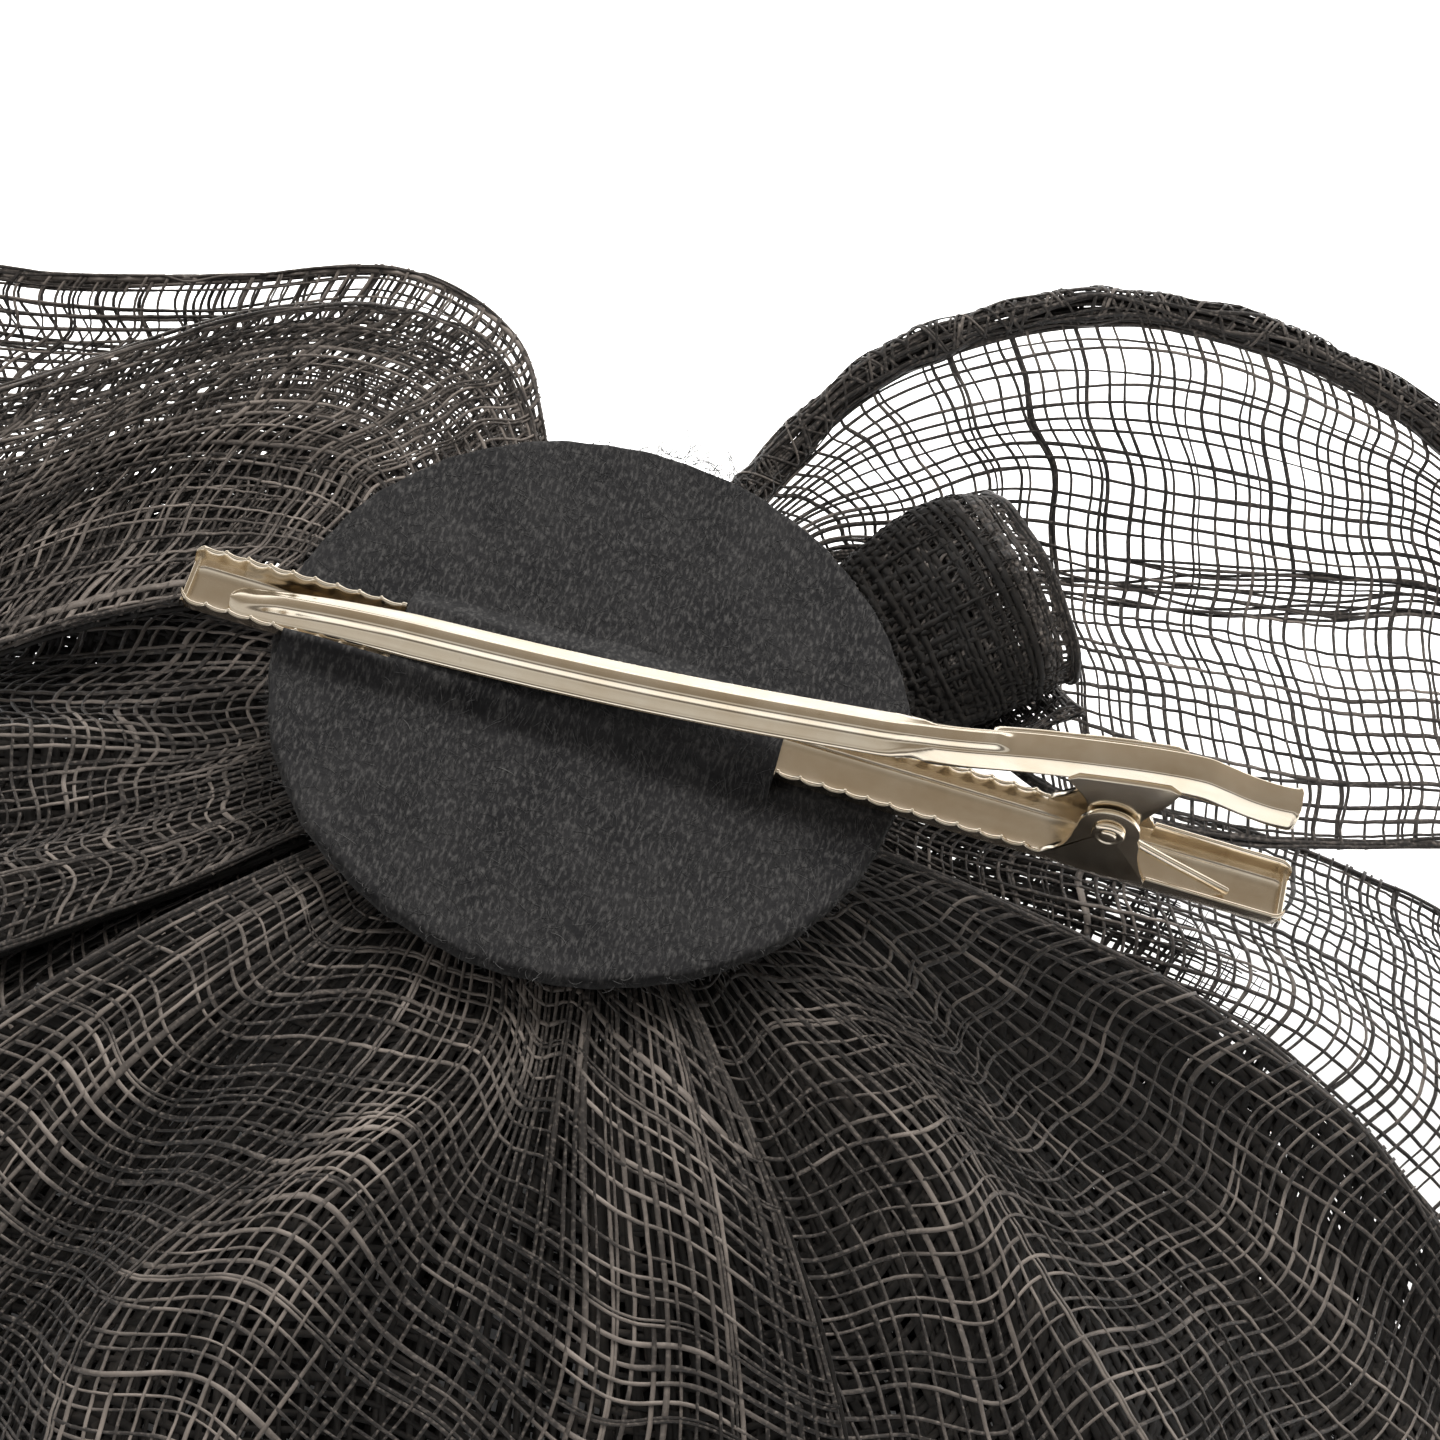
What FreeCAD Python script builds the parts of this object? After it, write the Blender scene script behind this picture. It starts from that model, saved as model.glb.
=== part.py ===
# Fascinator headpiece: gathered sinamay loops on a felt-covered disc with a toothed alligator clip.
# Millimetres. Origin: centre of the felt disc on its hair-side face.
# +X runs along the clip from its tip to its thumb end, +Z leaves the felt towards the wearer's head.
import FreeCAD, Part
import os, math
import Sketcher

App = FreeCAD
V = App.Vector
os.makedirs("parts", exist_ok=True)
doc = App.newDocument("fascinator")

# ---------------------------------------------------------------- driving dimensions
SIZES = [
    ("felt_radius", 22.5, "felt disc radius"),
    ("felt_thick", 1.5, "felt thickness"),
    ("base_radius", 21.3, "stiff base disc radius"),
    ("base_thick", 1.06, "stiff base disc thickness"),
    ("clip_offset", -0.42, "clip centre line, Y"),
    ("jaw_start", -29.17, "outer face of the tip end wall, X"),
    ("jaw_length", 79.1, "lower jaw length"),
    ("jaw_gauge", 0.4, "sheet thickness of the clip"),
    ("jaw_rim_half", 2.515, "half width over the rims"),
    ("jaw_floor_half", 2.15, "half width over the floor"),
    ("jaw_floor_low", -0.25, "underside of the floor, Z"),
    ("jaw_rim_high", 1.8, "top of the rims, Z"),
    ("jaw_hidden_rim", 1.45, "top of the plain rims under the felt strap, Z"),
    ("slit_tip", -14.05, "slit nearer the tip, X"),
    ("slit_pivot", 13.5, "slit nearer the pivot, X"),
    ("tooth_pitch", 1.6, "tooth pitch"),
    ("tooth_cut", 0.95, "radius of each scallop"),
    ("tooth_depth", 0.35, "depth of each scallop"),
    ("teeth_tip", 9, "scallops between the tip and the strap"),
    ("teeth_pivot", 12, "scallops between the strap and the ears"),
    ("pivot_along", 36.3, "pivot, X"),
    ("pivot_high", 6.1, "pivot, Z"),
    ("pin_radius", 0.8, "pin radius"),
    ("pin_head", 1.05, "rivet head radius"),
    ("pin_half", 3.0, "half length over the rivet heads"),
    ("pin_seat", 0.02, "clearance of the pin in the jaw's ears"),
    ("pin_play", 0.06, "running clearance of the pin in the lever's ears"),
    ("ear_out", 2.1, "inner face of the jaw's ears from the centre line"),
    ("ear_arc", 2.15, "radius of the jaw's ears"),
    ("lever_half", 1.85, "half width of the lever's blade"),
    ("handle_half", 1.6, "half width of the lever's handle"),
    ("handle_in", 1.25, "half width inside the skirts"),
    ("lever_ear_out", 1.9, "outer face of the lever's ears"),
    ("lever_ear_in", 1.5, "inner face of the lever's ears"),
    ("lever_ear_arc", 1.7, "radius of the lever's ears"),
    ("lever_skew", 0.37, "sideways skew of the lever, degrees"),
    ("rib_half", 0.85, "half width of the lever's rib"),
    ("rib_rise", 0.45, "rise of the rib"),
    ("coil_radius", 1.40, "mean radius of the spring coil"),
    ("coil_half", 1.1, "half width of the coil"),
    ("coil_gauge", 0.33, "spring wire radius"),
    ("strap_top", 1.98, "top of the felt strap, Z"),
    ("strap_base_half", 5.4, "half width of the strap at the felt"),
    ("strap_top_half", 3.2, "half width of the strap's top"),
    ("sheet_thick", 0.5, "thickness given to one sinamay layer"),
    ("hem_radius", 0.95, "rolled hem radius"),
    ("core_radius", 9.3, "gathered core radius"),
    ("core_high", -2.66, "top of the gathered core, Z"),
    ("core_low", -18.5, "bottom of the gathered core, Z"),
    ("binding_radius", 0.5, "binding thread radius"),
    ("binding_level", -16.9, "centre of the binding thread, Z"),
    ("rosette_high", -19.0, "top of the rosette, Z"),
    ("rosette_low", -30.5, "bottom of the rosette, Z"),
    ("rosette_band", 0.8, "band thickness in the rosette"),
]
sheet = doc.addObject("Spreadsheet::Sheet", "Sizes")
for row_number, (alias, value, words) in enumerate(SIZES, start=1):
    sheet.set("A%d" % row_number, words)
    sheet.set("B%d" % row_number, repr(float(value)))
    sheet.setAlias("B%d" % row_number, alias)
doc.recompute()
size = {alias: float(sheet.get(alias)) for alias, _, _ in SIZES}

CLIP_Y = size["clip_offset"]
PIVOT_X, PIVOT_Z = size["pivot_along"], size["pivot_high"]
GAUGE = size["jaw_gauge"]
RIM_HALF, RIM_Z = size["jaw_rim_half"], size["jaw_rim_high"]
FLOOR_HALF, FLOOR_Z = size["jaw_floor_half"], size["jaw_floor_low"]
ACROSS_CLIP = 8  # pocket length that passes through the whole width of the clip
GAP = 0.02       # gap left between touching pieces


# ---------------------------------------------------------------- helpers: sketches and features
def new_body(label, placement=None):
    body = doc.addObject("PartDesign::Body", label)
    body.Label = label
    if placement is not None:
        body.Placement = placement
    return body


def new_sketch(body, name, role, offset):
    """An empty sketch on the body's origin plane `role`, moved `offset` along its normal."""
    sketch = body.newObject("Sketcher::SketchObject", name)
    plane = next(f for f in body.Origin.OriginFeatures if f.Role == role)
    sketch.AttachmentSupport = [(plane, "")]
    sketch.MapMode = "FlatFace"
    sketch.AttachmentOffset = App.Placement(V(0, 0, offset), App.Rotation())
    return sketch


def outline_sketch(body, name, role, *outlines, offset=0.0):
    """A sketch of closed polygons, each a list of (across, up) points."""
    sketch = new_sketch(body, name, role, offset)
    for points in outlines:
        first, count = sketch.GeometryCount, len(points)
        for k in range(count):
            start, end = points[k], points[(k + 1) % count]
            sketch.addGeometry(Part.LineSegment(V(*start, 0), V(*end, 0)), False)
        for k in range(count):
            following = first + (k + 1) % count
            sketch.addConstraint(
                Sketcher.Constraint("Coincident", first + k, 2, following, 1))
    return sketch


def circle_sketch(body, name, role, centre, radius, label, expression, offset=0.0):
    """A sketch of one circle whose radius constraint `label` follows the expression."""
    sketch = new_sketch(body, name, role, offset)
    index = sketch.addGeometry(Part.Circle(V(*centre, 0), V(0, 0, 1), radius), False)
    constraint = sketch.addConstraint(Sketcher.Constraint("Radius", index, radius))
    sketch.renameConstraint(constraint, label)
    sketch.setExpression("Constraints." + label, expression)
    return sketch


def extrude(body, kind, name, sketch, length, symmetric, reverse=False):
    """A pad or pocket; length is a number or an expression on the spreadsheet."""
    feature = body.newObject("PartDesign::" + kind, name)
    feature.Profile = sketch
    feature.Reversed = reverse
    if symmetric:
        feature.SideType = "Symmetric"
    if isinstance(length, str):
        feature.setExpression("Length", length)
    else:
        feature.Length = length
    body.Tip = feature
    doc.recompute()
    return feature


def pad(body, name, sketch, length, symmetric=False):
    return extrude(body, "Pad", name, sketch, length, symmetric)


def pocket(body, name, sketch, length, symmetric=True, reverse=False):
    before = body.Shape.Volume
    feature = extrude(body, "Pocket", name, sketch, length, symmetric, reverse)
    if not body.Shape.Volume < before - 1e-6:
        raise RuntimeError("pocket %s removed nothing" % name)
    return feature


def add_solid(label, shape, placement=None):
    feature = doc.addObject("Part::Feature", label)
    feature.Label = label
    feature.Shape = shape
    if placement is not None:
        feature.Placement = placement


# ---------------------------------------------------------------- helpers: points and curves
def mirrored(side, centre=0.0):
    """Joins a side, given as (distance from centre, z) points, to its mirror image."""
    return ([(centre - y, z) for y, z in side]
            + [(centre + y, z) for y, z in reversed(side)])


def raised(points, rise):
    return [(x, z + rise) for x, z in points]


def pivot_arc(radius, degrees):
    return [(PIVOT_X + radius * math.cos(math.radians(a)),
             PIVOT_Z + radius * math.sin(math.radians(a))) for a in degrees]


def z_along(table, x):
    """Linear interpolation in a table of (x, z) stations, held flat past its ends."""
    if x <= table[0][0]:
        return table[0][1]
    for (x0, z0), (x1, z1) in zip(table, table[1:]):
        if x <= x1:
            return z0 + (z1 - z0) * (x - x0) / (x1 - x0)
    return table[-1][1]


def smooth(t):
    """Eases from 0 to 1 as t runs from 0 to 1."""
    t = min(1.0, max(0.0, t))
    return t * t * (3 - 2 * t)


def curve_through(points):
    curve = Part.BSplineCurve()
    curve.interpolate(points)
    return curve


def round_wire(points, radius, corrected_frenet=False):
    """A solid of round section swept along a smooth curve through the points."""
    curve = curve_through(points)
    start_direction = curve.tangent(curve.FirstParameter)[0]
    sweep = Part.BRepOffsetAPI.MakePipeShell(Part.Wire([curve.toShape()]))
    sweep.add(Part.Wire([Part.Circle(points[0], start_direction, radius).toShape()]))
    if corrected_frenet:
        sweep.setFrenetMode(False)
    sweep.build()
    sweep.makeSolid()
    return sweep.shape()


# ---------------------------------------------------------------- clip: lower jaw
def cut_teeth(jaw, tag, first_x, count):
    """A row of scallops in both rims, running towards +X from first_x."""
    radius = size["tooth_cut"]
    sketch = circle_sketch(jaw, "scallop_" + tag, "XZ_Plane",
                           (first_x, RIM_Z + radius - size["tooth_depth"]), radius,
                           "cut", "Sizes.tooth_cut")
    scallop = pocket(jaw, "first_scallop_" + tag, sketch, ACROSS_CLIP)
    row = jaw.newObject("PartDesign::LinearPattern", "teeth_" + tag)
    row.Originals = [scallop]
    row.Direction = (sketch, ["H_Axis"])
    # the mode names vary between releases; the default mode spreads the row over Length
    if "Spacing" in row.getEnumerationsOfProperty("Mode"):
        row.Mode = "Spacing"
    row.Offset = size["tooth_pitch"]
    row.setExpression("Offset", "Sizes.tooth_pitch")
    row.Length = size["tooth_pitch"] * (count - 1)
    row.Occurrences = count
    jaw.Tip = row
    doc.recompute()


def build_lower_jaw():
    jaw = new_body("clip_lower_jaw", App.Placement(V(0, CLIP_Y, 0), App.Rotation()))
    start = size["jaw_start"]
    floor_in, rim_in = FLOOR_HALF - 0.37, RIM_HALF - 0.385
    outer = mirrored([(RIM_HALF, RIM_Z), (FLOOR_HALF + 0.06, FLOOR_Z + 0.32),
                      (FLOOR_HALF - 0.22, FLOOR_Z)])
    inner = mirrored([(rim_in, RIM_Z), (floor_in + 0.03, FLOOR_Z + GAUGE + 0.16),
                      (floor_in - 0.12, FLOOR_Z + GAUGE)])
    sketch = outline_sketch(jaw, "jaw_section", "YZ_Plane", outer + inner[::-1], offset=start)
    pad(jaw, "jaw_tray", sketch, "Sizes.jaw_length")
    for tag, x in (("tip", start), ("tail", start + size["jaw_length"] - GAUGE)):
        sketch = outline_sketch(jaw, "jaw_wall_" + tag, "YZ_Plane", outer, offset=x)
        pad(jaw, "jaw_end_" + tag, sketch, "Sizes.jaw_gauge")

    # a block over the full width, then hollowed to leave the two ears
    sketch = outline_sketch(
        jaw, "ear_outline", "XZ_Plane",
        [(40.0, 1.3), (39.75, 1.95), (39.25, 3.0), (38.8, 4.4)]
        + pivot_arc(size["ear_arc"], range(-8, 189, 14))
        + [(34.05, 4.4), (33.8, 3.2), (33.3, 2.3), (32.6, 1.7), (32.4, 1.3)])
    pad(jaw, "jaw_ears", sketch, "2 * Sizes.jaw_rim_half", symmetric=True)
    sketch = outline_sketch(jaw, "ear_gap", "XZ_Plane",
                            [(31.8, 1.28), (40.6, 1.28), (40.6, 9.5), (31.8, 9.5)])
    pocket(jaw, "jaw_ear_gap", sketch, "2 * Sizes.ear_out")
    sketch = circle_sketch(jaw, "ear_bore", "XZ_Plane", (PIVOT_X, PIVOT_Z),
                           size["pin_radius"] + size["pin_seat"],
                           "bore", "Sizes.pin_radius + Sizes.pin_seat")
    pocket(jaw, "jaw_pin_hole", sketch, ACROSS_CLIP)

    cut_teeth(jaw, "tip", first_x=-28.0, count=int(size["teeth_tip"]))
    cut_teeth(jaw, "pivot", first_x=14.55, count=int(size["teeth_pivot"]))

    # the rims are lower where the felt strap covers them
    low_from, low_to = size["slit_tip"] - 0.1, size["slit_pivot"] + 0.1
    low_z = size["jaw_hidden_rim"]
    sketch = outline_sketch(jaw, "plain_rim", "XZ_Plane",
                            [(low_from, low_z), (low_to, low_z), (low_to, 3), (low_from, 3)])
    pocket(jaw, "jaw_plain_rim", sketch, ACROSS_CLIP)


# ---------------------------------------------------------------- clip: pin
def build_pin():
    pin = new_body("clip_pivot_pin", App.Placement(V(PIVOT_X, CLIP_Y, PIVOT_Z), App.Rotation()))
    radius, head, half = size["pin_radius"], size["pin_head"], size["pin_half"]
    head_seat = RIM_HALF + 0.03
    # (radius, y) from the end at -Y to the shank
    end = [(0, -half), (0.55, -half), (0.9, -half + 0.14), (head, -half + 0.3),
           (head, -head_seat), (radius, -head_seat)]
    sketch = outline_sketch(pin, "pin_profile", "XY_Plane",
                            end + [(x, -y) for x, y in reversed(end)])
    turned = pin.newObject("PartDesign::Revolution", "pin_turned")
    turned.Profile = sketch
    turned.ReferenceAxis = (sketch, ["V_Axis"])
    turned.Angle = 360
    pin.Tip = turned
    doc.recompute()


# ---------------------------------------------------------------- clip: upper lever
# (x, z) stations along the lever: middle of the blade's sheet
BLADE = [
    (-26, 0.46), (-24, 0.78), (-22, 1.15), (-20, 1.52), (-18, 1.85), (-16, 2.10), (-14, 2.33),
    (-12, 2.48), (-10, 2.62), (-8, 2.76), (-6, 2.92), (-4, 3.09), (-2, 3.29), (0, 3.50),
    (2, 3.74), (4, 4.00), (6, 4.29), (8, 4.59), (10, 4.91), (12, 5.25), (14, 5.61),
    (16, 5.97), (18, 6.34), (20, 6.71), (21.5, 7.0),
]
# top of the handle
TOP = [
    (20.5, 7.12), (22.0, 7.45), (23.84, 7.92), (25.43, 8.42), (26.9, 8.94), (28.37, 9.47),
    (29.96, 10.02), (31.8, 10.58), (33.8, 11.14), (35.8, 11.68), (37.8, 12.16), (39.8, 12.55),
    (41.3, 12.7), (42.8, 12.38), (44.3, 12.05), (45.8, 11.93), (47.0, 12.02), (47.8, 12.2),
]
# bottom of the handle's skirts
SKIRT = [
    (20.5, 6.7), (22.0, 6.72), (23.84, 7.05), (25.43, 7.46), (26.9, 7.96), (28.37, 8.48),
    (29.96, 9.0), (31.8, 9.52), (33.8, 10.05), (35.8, 10.56), (37.8, 11.0), (39.8, 11.3),
    (41.3, 11.35), (42.8, 11.1), (44.3, 10.82), (45.8, 10.62), (47.0, 10.6), (47.8, 10.75),
]
# where the rib is drawn, and the fraction of its rise at each station
RIB_X = [-24.2, -23] + list(range(-22, 21, 2)) + [22, 24, 25.5, 26.8, 27.8, 28.4]
RIB_RISE = [0.05, 0.8] + [1.0] * (len(RIB_X) - 4) + [0.8, 0.05]


def under_top(x):
    return z_along(TOP, x) - GAUGE


def lever_skin(x):
    """Z of the lever's upper surface, over the blade and on to the handle."""
    join = 20
    if x <= join:
        return z_along(BLADE, x) + GAUGE / 2
    return z_along([(join, z_along(BLADE, join) + GAUGE / 2)] + TOP[1:], x)


def rib_outline(stations, height):
    return ([(x, lever_skin(x) - 0.1) for x, _ in stations]
            + [(x, lever_skin(x) + height * part) for x, part in reversed(stations)])


def add_blade(lever):
    sketch = outline_sketch(lever, "blade_side", "XZ_Plane",
                            raised(BLADE, -GAUGE / 2) + raised(BLADE, GAUGE / 2)[::-1])
    pad(lever, "lever_blade", sketch, "2 * Sizes.lever_half", symmetric=True)
    half = size["lever_half"]
    taper = [(-26.6, 1.15), (-25.6, 1.3), (-22, 1.55), (-17, 1.72), (-13, half + 0.001),
             (-13, half + 1), (-26.6, half + 1)]
    sketch = outline_sketch(lever, "tip_taper", "XY_Plane",
                            taper, [(x, -y) for x, y in taper])
    pocket(lever, "lever_tip_taper", sketch, 20)


def add_handle(lever):
    sketch = outline_sketch(lever, "handle_side", "XZ_Plane", SKIRT + TOP[::-1])
    pad(lever, "lever_handle", sketch, "2 * Sizes.handle_half", symmetric=True)
    hollow_from, hollow_to = 21.9, 47.4
    roof = ([(hollow_from, under_top(hollow_from))]
            + [(x, z - GAUGE) for x, z in TOP if hollow_from < x < 47.3]
            + [(hollow_to, under_top(hollow_to))])
    sketch = outline_sketch(
        lever, "handle_hollow", "XZ_Plane",
        [(hollow_from, 6.0), (30, 7.6), (36, 9.0), (hollow_to, 9.6)] + roof[::-1])
    pocket(lever, "lever_channel", sketch, "2 * Sizes.handle_in")


def add_lever_ears(lever):
    sketch = outline_sketch(
        lever, "lever_ear_side", "XZ_Plane",
        [(x, z_along(TOP, x) - 0.75) for x in (32.6, 39.8)] + [(39.3, 9.6), (38.2, 7.6)]
        + pivot_arc(size["lever_ear_arc"], range(0, -181, -15)) + [(34.3, 7.6), (33.3, 8.9)])
    pad(lever, "lever_ears", sketch, "2 * Sizes.lever_ear_out", symmetric=True)
    # a narrow channel up to the handle's roof, then a wider one lower down
    sketch = outline_sketch(
        lever, "lever_ear_gap", "XZ_Plane",
        [(30.0, 3.5), (41, 3.5)] + [(x, under_top(x)) for x in (41, 40, 38, 36, 34, 32, 30)])
    channel_half = 1.3
    pocket(lever, "lever_ear_channel", sketch, 2 * channel_half)
    sketch = outline_sketch(lever, "lever_ear_room", "XZ_Plane",
                            [(32.0, 3.5), (41, 3.5), (41, 9.3), (32.0, 8.2)])
    pocket(lever, "lever_ear_hollow", sketch, "2 * Sizes.lever_ear_in")


def add_rib(lever):
    """A wide low rib with a narrower crown along it."""
    stations = list(zip(RIB_X, RIB_RISE))
    rise = size["rib_rise"]
    sketch = outline_sketch(lever, "rib_side", "XZ_Plane", rib_outline(stations, 0.6 * rise))
    pad(lever, "lever_rib", sketch, "2 * Sizes.rib_half", symmetric=True)
    # the crown stops one station short at each end, so its ends are steps of 0.8
    sketch = outline_sketch(lever, "rib_crown_side", "XZ_Plane",
                            rib_outline(stations[1:-1], rise))
    pad(lever, "lever_rib_crown", sketch, "1.3 * Sizes.rib_half", symmetric=True)


def build_upper_lever():
    skew = App.Rotation(V(0, 0, 1), size["lever_skew"])
    lever = new_body("clip_upper_lever",
                     App.Placement(V(0, CLIP_Y, 0), skew, V(PIVOT_X, 0, 0)))
    add_blade(lever)
    add_handle(lever)
    add_lever_ears(lever)
    add_rib(lever)
    sketch = circle_sketch(lever, "lever_bore", "XZ_Plane", (PIVOT_X, PIVOT_Z),
                           size["pin_radius"] + size["pin_play"],
                           "bore", "Sizes.pin_radius + Sizes.pin_play")
    pocket(lever, "lever_pin_hole", sketch, ACROSS_CLIP)


# ---------------------------------------------------------------- clip: spring
# (x, distance from the centre line, z): the lower leg runs up to the coil on the -Y side,
# the upper leg leaves it on the +Y side
LOWER_LEG = [(46.0, 0.72, 0.62), (43.6, 0.82, 1.55), (41.2, 0.94, 2.55), (38.9, 1.06, 3.58)]
UPPER_LEG = [(38.9, 1.06, 8.6), (41.2, 0.92, 9.6), (43.4, 0.8, 10.5), (45.4, 0.72, 11.0)]
COIL_START = -68.0                   # degrees about the pivot
COIL_SWEEP = -(3.0 * 360.0 + 222.0)  # three turns and the part turn to the upper leg
COIL_STEPS = 66


def build_spring():
    radius, half = size["coil_radius"], size["coil_half"]
    points = [V(x - PIVOT_X, -y, z - PIVOT_Z) for x, y, z in LOWER_LEG]
    for k in range(COIL_STEPS + 1):
        t = k / COIL_STEPS
        angle = math.radians(COIL_START + COIL_SWEEP * t)
        points.append(V(radius * math.cos(angle), -half + 2 * half * t,
                        radius * math.sin(angle)))
    points += [V(x - PIVOT_X, y, z - PIVOT_Z) for x, y, z in UPPER_LEG]
    add_solid("clip_spring", round_wire(points, size["coil_gauge"], corrected_frenet=True),
              App.Placement(V(PIVOT_X, CLIP_Y, PIVOT_Z), App.Rotation()))


# ---------------------------------------------------------------- felt disc with its strap
def build_felt():
    felt = new_body("felt_cover_disc")
    sketch = circle_sketch(felt, "felt_outline", "XY_Plane", (0, 0), size["felt_radius"],
                           "rim", "Sizes.felt_radius", offset=-size["felt_thick"])
    pad(felt, "felt_disc", sketch, "Sizes.felt_thick")

    slit_tip, slit_pivot = size["slit_tip"], size["slit_pivot"]
    base_half, top_half = size["strap_base_half"], size["strap_top_half"]
    strap = [(base_half, -0.2), (base_half, 0.02), (base_half - 0.9, 0.5),
             (top_half + 0.5, 1.6), (top_half - 0.3, size["strap_top"])]
    sketch = outline_sketch(felt, "strap_section", "YZ_Plane", mirrored(strap, CLIP_Y),
                            offset=slit_tip)
    pad(felt, "felt_strap", sketch, "Sizes.slit_pivot - Sizes.slit_tip")

    # room for the jaw: a tunnel through the strap and a groove from each slit outwards
    bed = (FLOOR_HALF + 0.14, FLOOR_Z - 0.05)
    tunnel = [(RIM_HALF + 0.06, size["jaw_hidden_rim"] + 0.05), bed]
    sketch = outline_sketch(felt, "strap_tunnel", "YZ_Plane", mirrored(tunnel, CLIP_Y),
                            offset=slit_tip - 0.5)
    pocket(felt, "felt_tunnel", sketch, slit_pivot - slit_tip + 1.0,
           symmetric=False, reverse=True)
    groove = [(FLOOR_HALF + 0.2, 0.3), bed]
    groove_end, overlap = 23.5, 0.2
    for tag, start, end in (("tip", -groove_end, slit_tip + overlap),
                            ("pivot", slit_pivot - overlap, groove_end)):
        sketch = outline_sketch(felt, "groove_" + tag, "YZ_Plane", mirrored(groove, CLIP_Y),
                                offset=start)
        pocket(felt, "felt_groove_" + tag, sketch, end - start, symmetric=False, reverse=True)


# ---------------------------------------------------------------- stiff base disc, core, binding
def add_primitive(kind, label, z, **expressions):
    """A Part primitive at height z on the Z axis, its properties bound to expressions."""
    primitive = doc.addObject("Part::" + kind, label)
    primitive.Label = label
    for name, expression in expressions.items():
        primitive.setExpression(name, expression)
    primitive.Placement = App.Placement(V(0, 0, z), App.Rotation())


def build_base_and_core():
    add_primitive("Cylinder", "base_disc", -size["felt_thick"] - GAP - size["base_thick"],
                  Radius="Sizes.base_radius", Height="Sizes.base_thick")
    add_primitive("Cylinder", "gathered_core", size["core_low"],
                  Radius="Sizes.core_radius", Height="Sizes.core_high - Sizes.core_low")
    add_primitive("Torus", "binding_thread", size["binding_level"],
                  Radius1="Sizes.core_radius + Sizes.binding_radius + %s" % GAP,
                  Radius2="Sizes.binding_radius")


# ---------------------------------------------------------------- sinamay: sheet of even thickness
def sheet_solid(surface, steps_u, steps_v):
    """A closed solid about surface(u, v), u from 0 to 1 and v from -1 to 1."""
    step = 1e-3
    half = size["sheet_thick"] / 2
    sides = ([], [])
    for i in range(steps_u + 1):
        rows = ([], [])
        for j in range(steps_v + 1):
            u, v = i / steps_u, -1 + 2 * j / steps_v
            point = surface(u, v)
            along = surface(min(1, u + step), v) - surface(max(0, u - step), v)
            across = surface(u, min(1, v + step)) - surface(u, max(-1, v - step))
            normal = along.cross(across).normalize()
            rows[0].append(point + normal * half)
            rows[1].append(point - normal * half)
        for side, row in zip(sides, rows):
            side.append(row)
    faces, rims = [], []
    for side in sides:
        skin = Part.BSplineSurface()
        skin.interpolate(side)
        faces.append(skin.toShape())
        u0, u1, v0, v1 = skin.bounds()
        rims.append([iso.toShape() for iso in
                     (skin.uIso(u0), skin.uIso(u1), skin.vIso(v0), skin.vIso(v1))])
    for edge, opposite in zip(*rims):
        faces.append(Part.makeRuledSurface(edge, opposite))
    shell = Part.makeShell(faces)
    shell.sewShape()
    solid = Part.makeSolid(shell)
    if solid.Volume < 0:
        solid.reverse()
    solid = solid.copy()
    if not solid.isValid():
        solid.fix(1e-4, 1e-4, 1e-3)
    return solid


# ---------------------------------------------------------------- sinamay: petals
# azimuth (degrees), root radius, tip radius, root half width, outer half width,
# Z offset from the ruffled surface, side tilt, ruffle, ruffle phase, tip rounding
PETALS = {
    "petal_left": (193, 11.5, 88, 5.5, 25, -3.6, 1.1, 0.4, 0.3, 0.24),
    "petal_lower_left": (225, 11.5, 90, 6.0, 31, -5.2, 1.0, 0.4, 1.3, 0.22),
    "petal_bottom": (265, 11.0, 88, 8.0, 41, 0.0, 0.9, 0.35, 2.0, 0.20),
    "petal_lower_right": (322, 11.5, 92, 6.5, 36, -2.6, -1.1, 0.4, 0.7, 0.20),
    "petal_right": (348, 11.5, 94, 6.0, 32, -6.6, 1.0, 0.4, 2.6, 0.14),
    "underpetal_left": (204, 13.0, 80, 6.0, 30, -8.6, 0.7, 0.4, 0.0, 0.24),
    "underpetal_lower_left": (243, 13.0, 84, 6.0, 33, -10.9, 0.7, 0.4, 1.0, 0.24),
    "underpetal_lower_right": (284, 13.0, 84, 6.0, 33, -8.3, -0.7, 0.4, 2.0, 0.24),
    "underpetal_right": (322, 13.0, 84, 6.0, 31, -10.9, 0.7, 0.4, 3.0, 0.24),
}


def ruffled_z(x, y):
    """Z of the ruffled surface the petals follow; it falls and waves more towards its rim."""
    radius = math.hypot(x, y)
    azimuth = math.atan2(y, x)
    level = -3.9 - 14.5 * smooth((radius - 20.0) / 72.0)
    wave = 2.0 * smooth((radius - 22.0) / 34.0)
    return level + wave * (math.sin(7 * azimuth + 0.9) + 0.35 * math.sin(13 * azimuth + 2.1))


def petal_point(petal, u, v):
    """u runs from root to tip, v from -1 to 1 across."""
    (azimuth, root, tip, root_half, outer_half,
     offset, tilt, ruffle, phase, rounding) = petal
    spread = math.sin(math.pi / 2 * min(1.0, max(0.0, u) / 0.75))
    half = root_half + (outer_half - root_half) * spread
    out = root + (tip - root) * u - rounding * (tip - root) * v * v * u * u
    side = v * half * (1 - 0.10 * u * u)
    angle = math.radians(azimuth)
    x = math.cos(angle) * out - math.sin(angle) * side
    y = math.sin(angle) * out + math.cos(angle) * side
    layer = offset * (0.55 + 0.45 * smooth((out - 14.0) / 16.0))
    own_wave = tilt * v + ruffle * math.sin(2.2 * math.pi * v + phase)
    z = ruffled_z(x, y) + layer + own_wave * spread * smooth((out - 21.0) / 12.0)
    return V(x, y, z)


def build_petals():
    for name, petal in PETALS.items():
        add_solid(name, sheet_solid(lambda u, v: petal_point(petal, u, v), 16, 12))


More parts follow.
